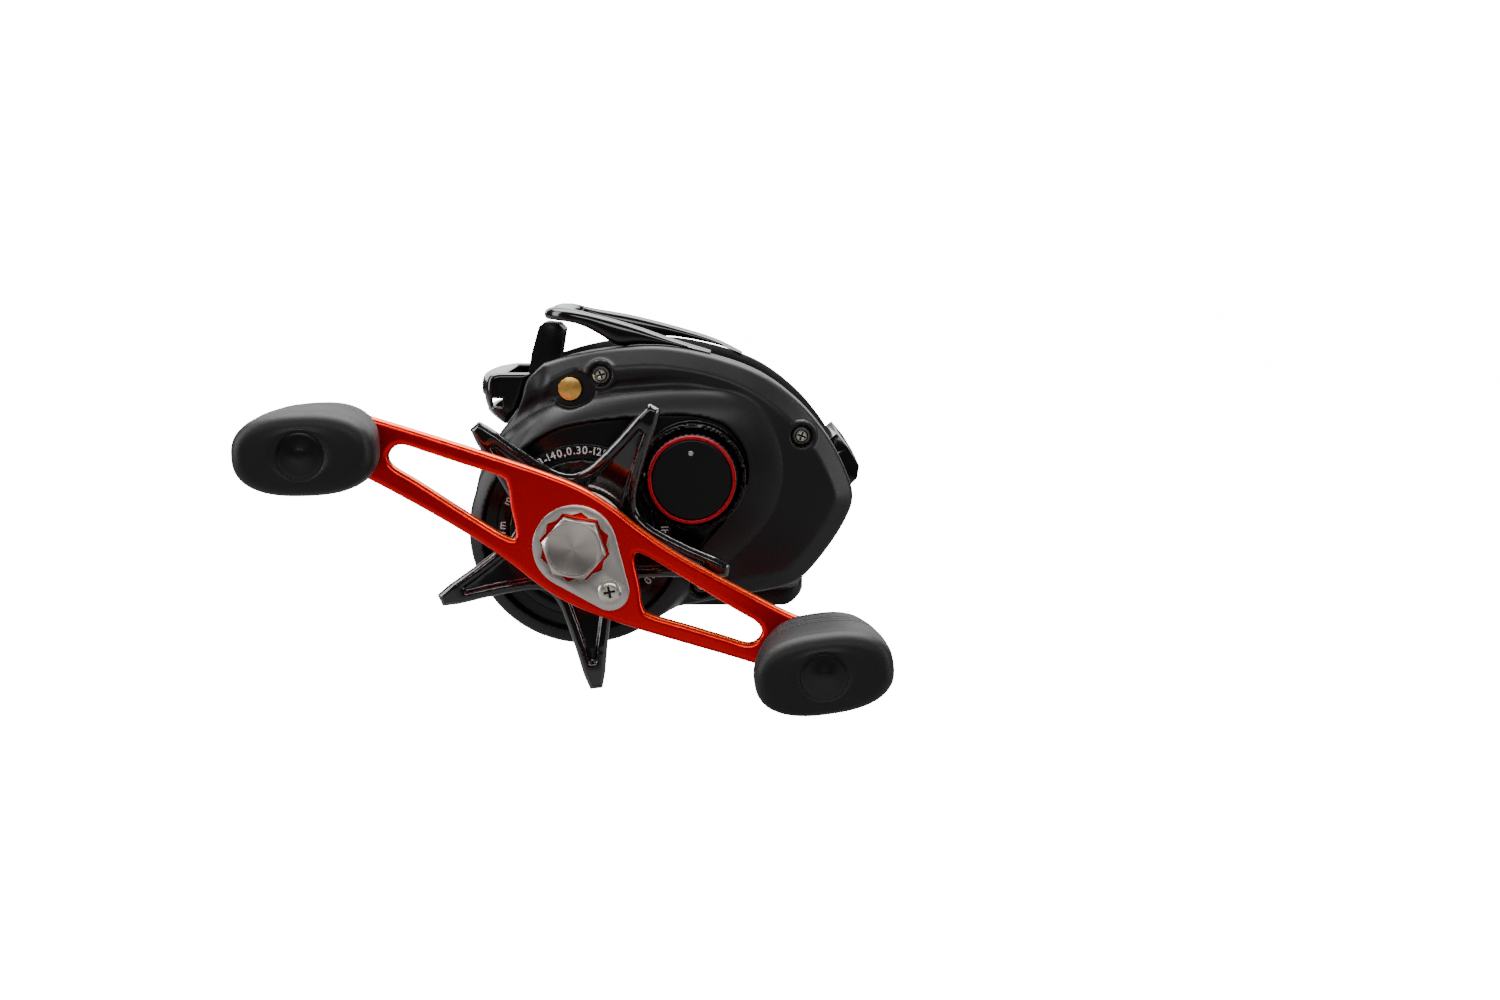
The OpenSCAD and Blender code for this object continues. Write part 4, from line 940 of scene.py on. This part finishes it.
# a small index dot near the top of its face
lathe("cast_knob_dot", CAST_DOT, CAST_DOT_PLACE, STEEL, "cast_control", sides=24, slot="steel")


# ---------------------------------------------------------------- clutch springs

POST_REACH = 8.5     # from the spool axis to each yoke post
COIL_R = 1.35
COIL_TURNS = 4
WIRE_R = 0.2
WIRE_SIDES = 10


def yoke_spring_coils():
    """The springs on the two yoke posts, coiled from one end of the yoke_springs part to the other; on the
    reel they shorten as the clutch slides out, but here they keep one length.
    """
    low, high = span("yoke_springs")
    way = (SPOOL - DRIVE) / np.linalg.norm(SPOOL - DRIVE)
    offset = POST_REACH * np.array([-way[1], way[0]])
    steps = 28 * COIL_TURNS
    points, faces = [], []
    for centre in (SPOOL + offset, SPOOL - offset):
        first = len(points)
        for k in range(steps + 1):
            angle = 2 * math.pi * COIL_TURNS * k / steps
            rise_h = low + WIRE_R + (high - low - 2 * WIRE_R) * k / steps
            for j in range(WIRE_SIDES):
                round_wire = -2 * math.pi * j / WIRE_SIDES
                reach = COIL_R + WIRE_R * math.cos(round_wire)
                points.append((centre[0] + reach * math.cos(angle), centre[1] + reach * math.sin(angle),
                               rise_h + WIRE_R * math.sin(round_wire)))
        faces += tube_faces(steps + 1, WIRE_SIDES, first)
    springs = make_piece("yoke_spring_coils", points, faces, STEEL, "body", "yoke_springs")
    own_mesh(springs)


yoke_spring_coils()


# ---------------------------------------------------------------- printed numerals

SPACE_DEGREES = 3.5     # turn taken by a space
LETTER_GAP = 0.154     # in letter sizes
LETTER_SIZE = 2.0
PRINT_RADIUS = 15.25
PRINT = [("top", "mm/m 0.28-140,0.30-120,0.35-90", 161), ("left", "mm/m", 195), ("right", "lb/yd 10-120", 4)]


def letters(name, text, radius, start, size, h, mat, body, slot):
    """Numerals set round the drive axis, reading clockwise, as thin print."""
    points, faces = [], []
    angle = start
    for character in text:
        shape = bpy.data.curves.new("glyph", "FONT")
        shape.body = character
        shape.size = size * MM
        shape.extrude = 0.02 * MM
        shape.offset = 0.03 * MM
        shape.align_x = "CENTER"
        source = bpy.data.objects.new("glyph", shape)
        bpy.context.scene.collection.objects.link(source)
        graph = bpy.context.evaluated_depsgraph_get()
        mesh = bpy.data.meshes.new_from_object(source.evaluated_get(graph))
        sides = [v.co.x for v in mesh.vertices]
        advance = SPACE_DEGREES
        if sides:
            advance = math.degrees(((max(sides) - min(sides)) / MM + LETTER_GAP * size) / radius)
        angle -= advance / 2
        facing = math.radians(angle)
        first = len(points)
        for v in mesh.vertices:
            across, up = v.co.x / MM, v.co.y / MM
            reach = radius - 0.35 * size + up
            points.append((DRIVE[0] + reach * math.cos(facing) + across * math.sin(facing),
                           DRIVE[1] + reach * math.sin(facing) - across * math.cos(facing), h + v.co.z / MM))
        faces += [tuple(first + i for i in f.vertices) for f in mesh.polygons]
        angle -= advance / 2
        bpy.data.objects.remove(source)
        bpy.data.curves.remove(shape)
    return make_piece(name, points, faces, mat, body, smooth=False, slot=slot)


plate_top = span("capacity_ring")[1]
for name, text, start in PRINT:
    letters("capacity_print_" + name, text, PRINT_RADIUS, start, LETTER_SIZE, plate_top + 0.03, INK, "body",
            "gloss_black")


def tick_marks(name, radius, start, pitch, count, height, body, slot):
    """Print on the palm side: radial marks about the spool axis that grow longer with the setting."""
    points, faces = [], []
    for k in range(count):
        facing = math.radians(start + pitch * k)
        ahead = np.array([math.cos(facing), math.sin(facing)])
        aside = np.array([-ahead[1], ahead[0]])
        end = radius + 0.8 + 0.12 * k
        first = len(points)
        for lift in (-0.02, 0.05):
            for reach, across in ((radius, -0.16), (end, -0.16), (end, 0.16), (radius, 0.16)):
                place = SPOOL + reach * ahead + across * aside
                points.append((*place, -(height(*place) + lift)))
        faces += [(first, first + 1, first + 2, first + 3), (first + 7, first + 6, first + 5, first + 4)]
        faces += [(first + i, first + 4 + i, first + 4 + (i + 1) % 4, first + (i + 1) % 4) for i in range(4)]
    return make_piece(name, points, faces, INK, body, smooth=False, slot=slot)


SCALE_START = 40     # degrees
SCALE_PITCH = 10
dial_face = -span("brake_dial")[0]
tick_marks("brake_scale_print", 10.9, SCALE_START, SCALE_PITCH, 10, palm_face, "body", "satin_charcoal")
tick_marks("brake_pointer_print", 8.4, SCALE_START, SCALE_PITCH, 1, lambda x, z: dial_face, "brake",
           "black_plastic")


# ---------------------------------------------------------------- kept CAD pieces, with soft edges

BEVELS = {
    "frame": 0.25, "reel_foot": 0.35, "foot_screws": 0.12, "side_cover_screws": 0.07, "capacity_ring": 0.1,
    "oil_port_bush": 0.12, "palm_plate_screws": 0.07, "handle_nut": 0.22, "nut_retainer": 0.14,
    "retainer_screw": 0.09, "knob_posts": 0.2, "click_washer": 0.15, "handle_spacer": 0.2, "thumb_bar": 0.5,
    "spool": 0.15, "line_guide": 0.35, "guide_insert": 0.3, "guide_rod": 0.15, "brake_dial": 0.2,
    "palm_lock": 0.15, "cast_knob_ring": 0.12, "drive_shaft": 0.15, "pawl_cap": 0.2,
}
for node, width in BEVELS.items():
    soften(node, width)


# the driver recesses in the screw heads get painted shade: a dark colour where shade falls inside them
RECESS_SHADE = surface("recess_painted_shade", (0.004, 0.0038, 0.0035), 0.6, grain=1800, bump=0.1)
RECESS_R = 1.25


def darken_recess(node, outward, depth, reach):
    """Paints shade, as a dark colour, onto the faces that lie just inside the head of each screw, near its
    axis.
    """
    mesh = frame["nodes"][node].data
    mesh.materials.append(RECESS_SHADE)
    x, z, h = face_centres(mesh)
    out = h * outward
    index = np.zeros(len(x), np.int32)
    for place, face in reach:
        near = away(x, z, place) < RECESS_R
        deep = (out > face - depth - 0.06) & (out < face - 0.02)
        index[near & deep] = 1
    mesh.polygons.foreach_set("material_index", index)


darken_recess("side_cover_screws", 1, 0.7, [(p, f - 0.15) for p, f in zip(screws, SCREW_FACE)])
darken_recess("palm_plate_screws", -1, 0.4, [(p, 21.2) for p in palm_screws])
darken_recess("retainer_screw", 1, 0.5, [(middle("retainer_screw"), span("retainer_screw")[1])])


# ---------------------------------------------------------------- stage, light and camera

FLOOR_SIDE = 3.0
FLOOR_HEIGHT = -0.05           # clear of the knobs when the handle points straight down
FLOOR_GLOW = 16.0
REEL_LIGHT = 0.06              # how strongly the surroundings light the reel
BACKGROUND_LIGHT = 40.0        # how bright the camera sees them behind it
CAMERA_PLACE = (0.010644, -0.423034, 0.077606)
CAMERA_TILT = 82.816
CAMERA_LENS = 51.6


def floor():
    mesh = bpy.data.meshes.new("floor")
    corners = [(-1, -1), (1, -1), (1, 1), (-1, 1)]
    mesh.from_pydata([(FLOOR_SIDE * x, FLOOR_SIDE * y, FLOOR_HEIGHT) for x, y in corners], [], [(0, 1, 2, 3)])
    obj = bpy.data.objects.new("floor", mesh)
    bpy.context.scene.collection.objects.link(obj)
    mat, nodes, links, shader = new_material("pale_floor")
    noise = add(nodes, "ShaderNodeTexNoise", Scale=30.0)
    links.new(object_coords(nodes), noise.inputs["Vector"])
    mix = add(nodes, "ShaderNodeMixRGB")
    mix.inputs[1].default_value = (0.2, 0.2, 0.2, 1)
    mix.inputs[2].default_value = (0.22, 0.22, 0.22, 1)
    links.new(noise.outputs["Fac"], mix.inputs[0])
    links.new(mix.outputs[0], shader.inputs["Base Color"])
    shader.inputs["Roughness"].default_value = 0.9
    # the floor reads as white paper to the camera, without lighting the reel from below
    path = add(nodes, "ShaderNodeLightPath")
    glow = add(nodes, "ShaderNodeMath", operation="MULTIPLY")
    glow.inputs[1].default_value = FLOOR_GLOW
    links.new(path.outputs["Is Camera Ray"], glow.inputs[0])
    links.new(glow.outputs[0], shader.inputs["Emission Strength"])
    shader.inputs["Emission Color"].default_value = (1, 1, 1, 1)
    mesh.materials.append(mat)


def softbox(name, place, target, size, power):
    """A soft rectangular light, aimed at a point."""
    light = bpy.data.lights.new(name, "AREA")
    light.shape = "RECTANGLE"
    light.size, light.size_y = size
    light.energy = power
    obj = bpy.data.objects.new(name, light)
    obj.location = place
    obj.rotation_euler = (Vector(target) - Vector(place)).to_track_quat("-Z", "Y").to_euler()
    bpy.context.scene.collection.objects.link(obj)
    return obj


floor()
world = bpy.data.worlds.new("studio")
world.use_nodes = True
tree = world.node_tree
sky = tree.nodes["Background"]
sky.inputs["Color"].default_value = (1, 1, 1, 1)
path = tree.nodes.new("ShaderNodeLightPath")
level = tree.nodes.new("ShaderNodeMapRange")
level.inputs["To Min"].default_value = REEL_LIGHT
level.inputs["To Max"].default_value = BACKGROUND_LIGHT
tree.links.new(path.outputs["Is Camera Ray"], level.inputs["Value"])
tree.links.new(level.outputs[0], sky.inputs["Strength"])
bpy.context.scene.world = world
centre = (0, 0, 0.03)
softbox("top_box", (-0.02, 0.2, 0.6), centre, (0.8, 0.5), 12)
softbox("left_box", (-0.6, -0.1, 0.28), centre, (0.3, 0.6), 3.5)
softbox("right_box", (0.62, -0.1, 0.2), centre, (0.15, 0.6), 1.6)
back_box = softbox("back_box", (0.05, 0.95, 0.42), centre, (1.8, 0.75), 7)
back_box.visible_camera = False
softbox("front_box", (0.02, -0.8, 0.5), centre, (0.9, 0.2), 3.2)

camera_data = bpy.data.cameras.new("camera")
camera_data.lens = CAMERA_LENS
camera_data.sensor_width = 36.0
camera_data.clip_start = 0.01
camera = bpy.data.objects.new("camera", camera_data)
camera.location = CAMERA_PLACE
camera.rotation_euler = (math.radians(CAMERA_TILT), 0, 0)
bpy.context.scene.collection.objects.link(camera)
bpy.context.scene.camera = camera
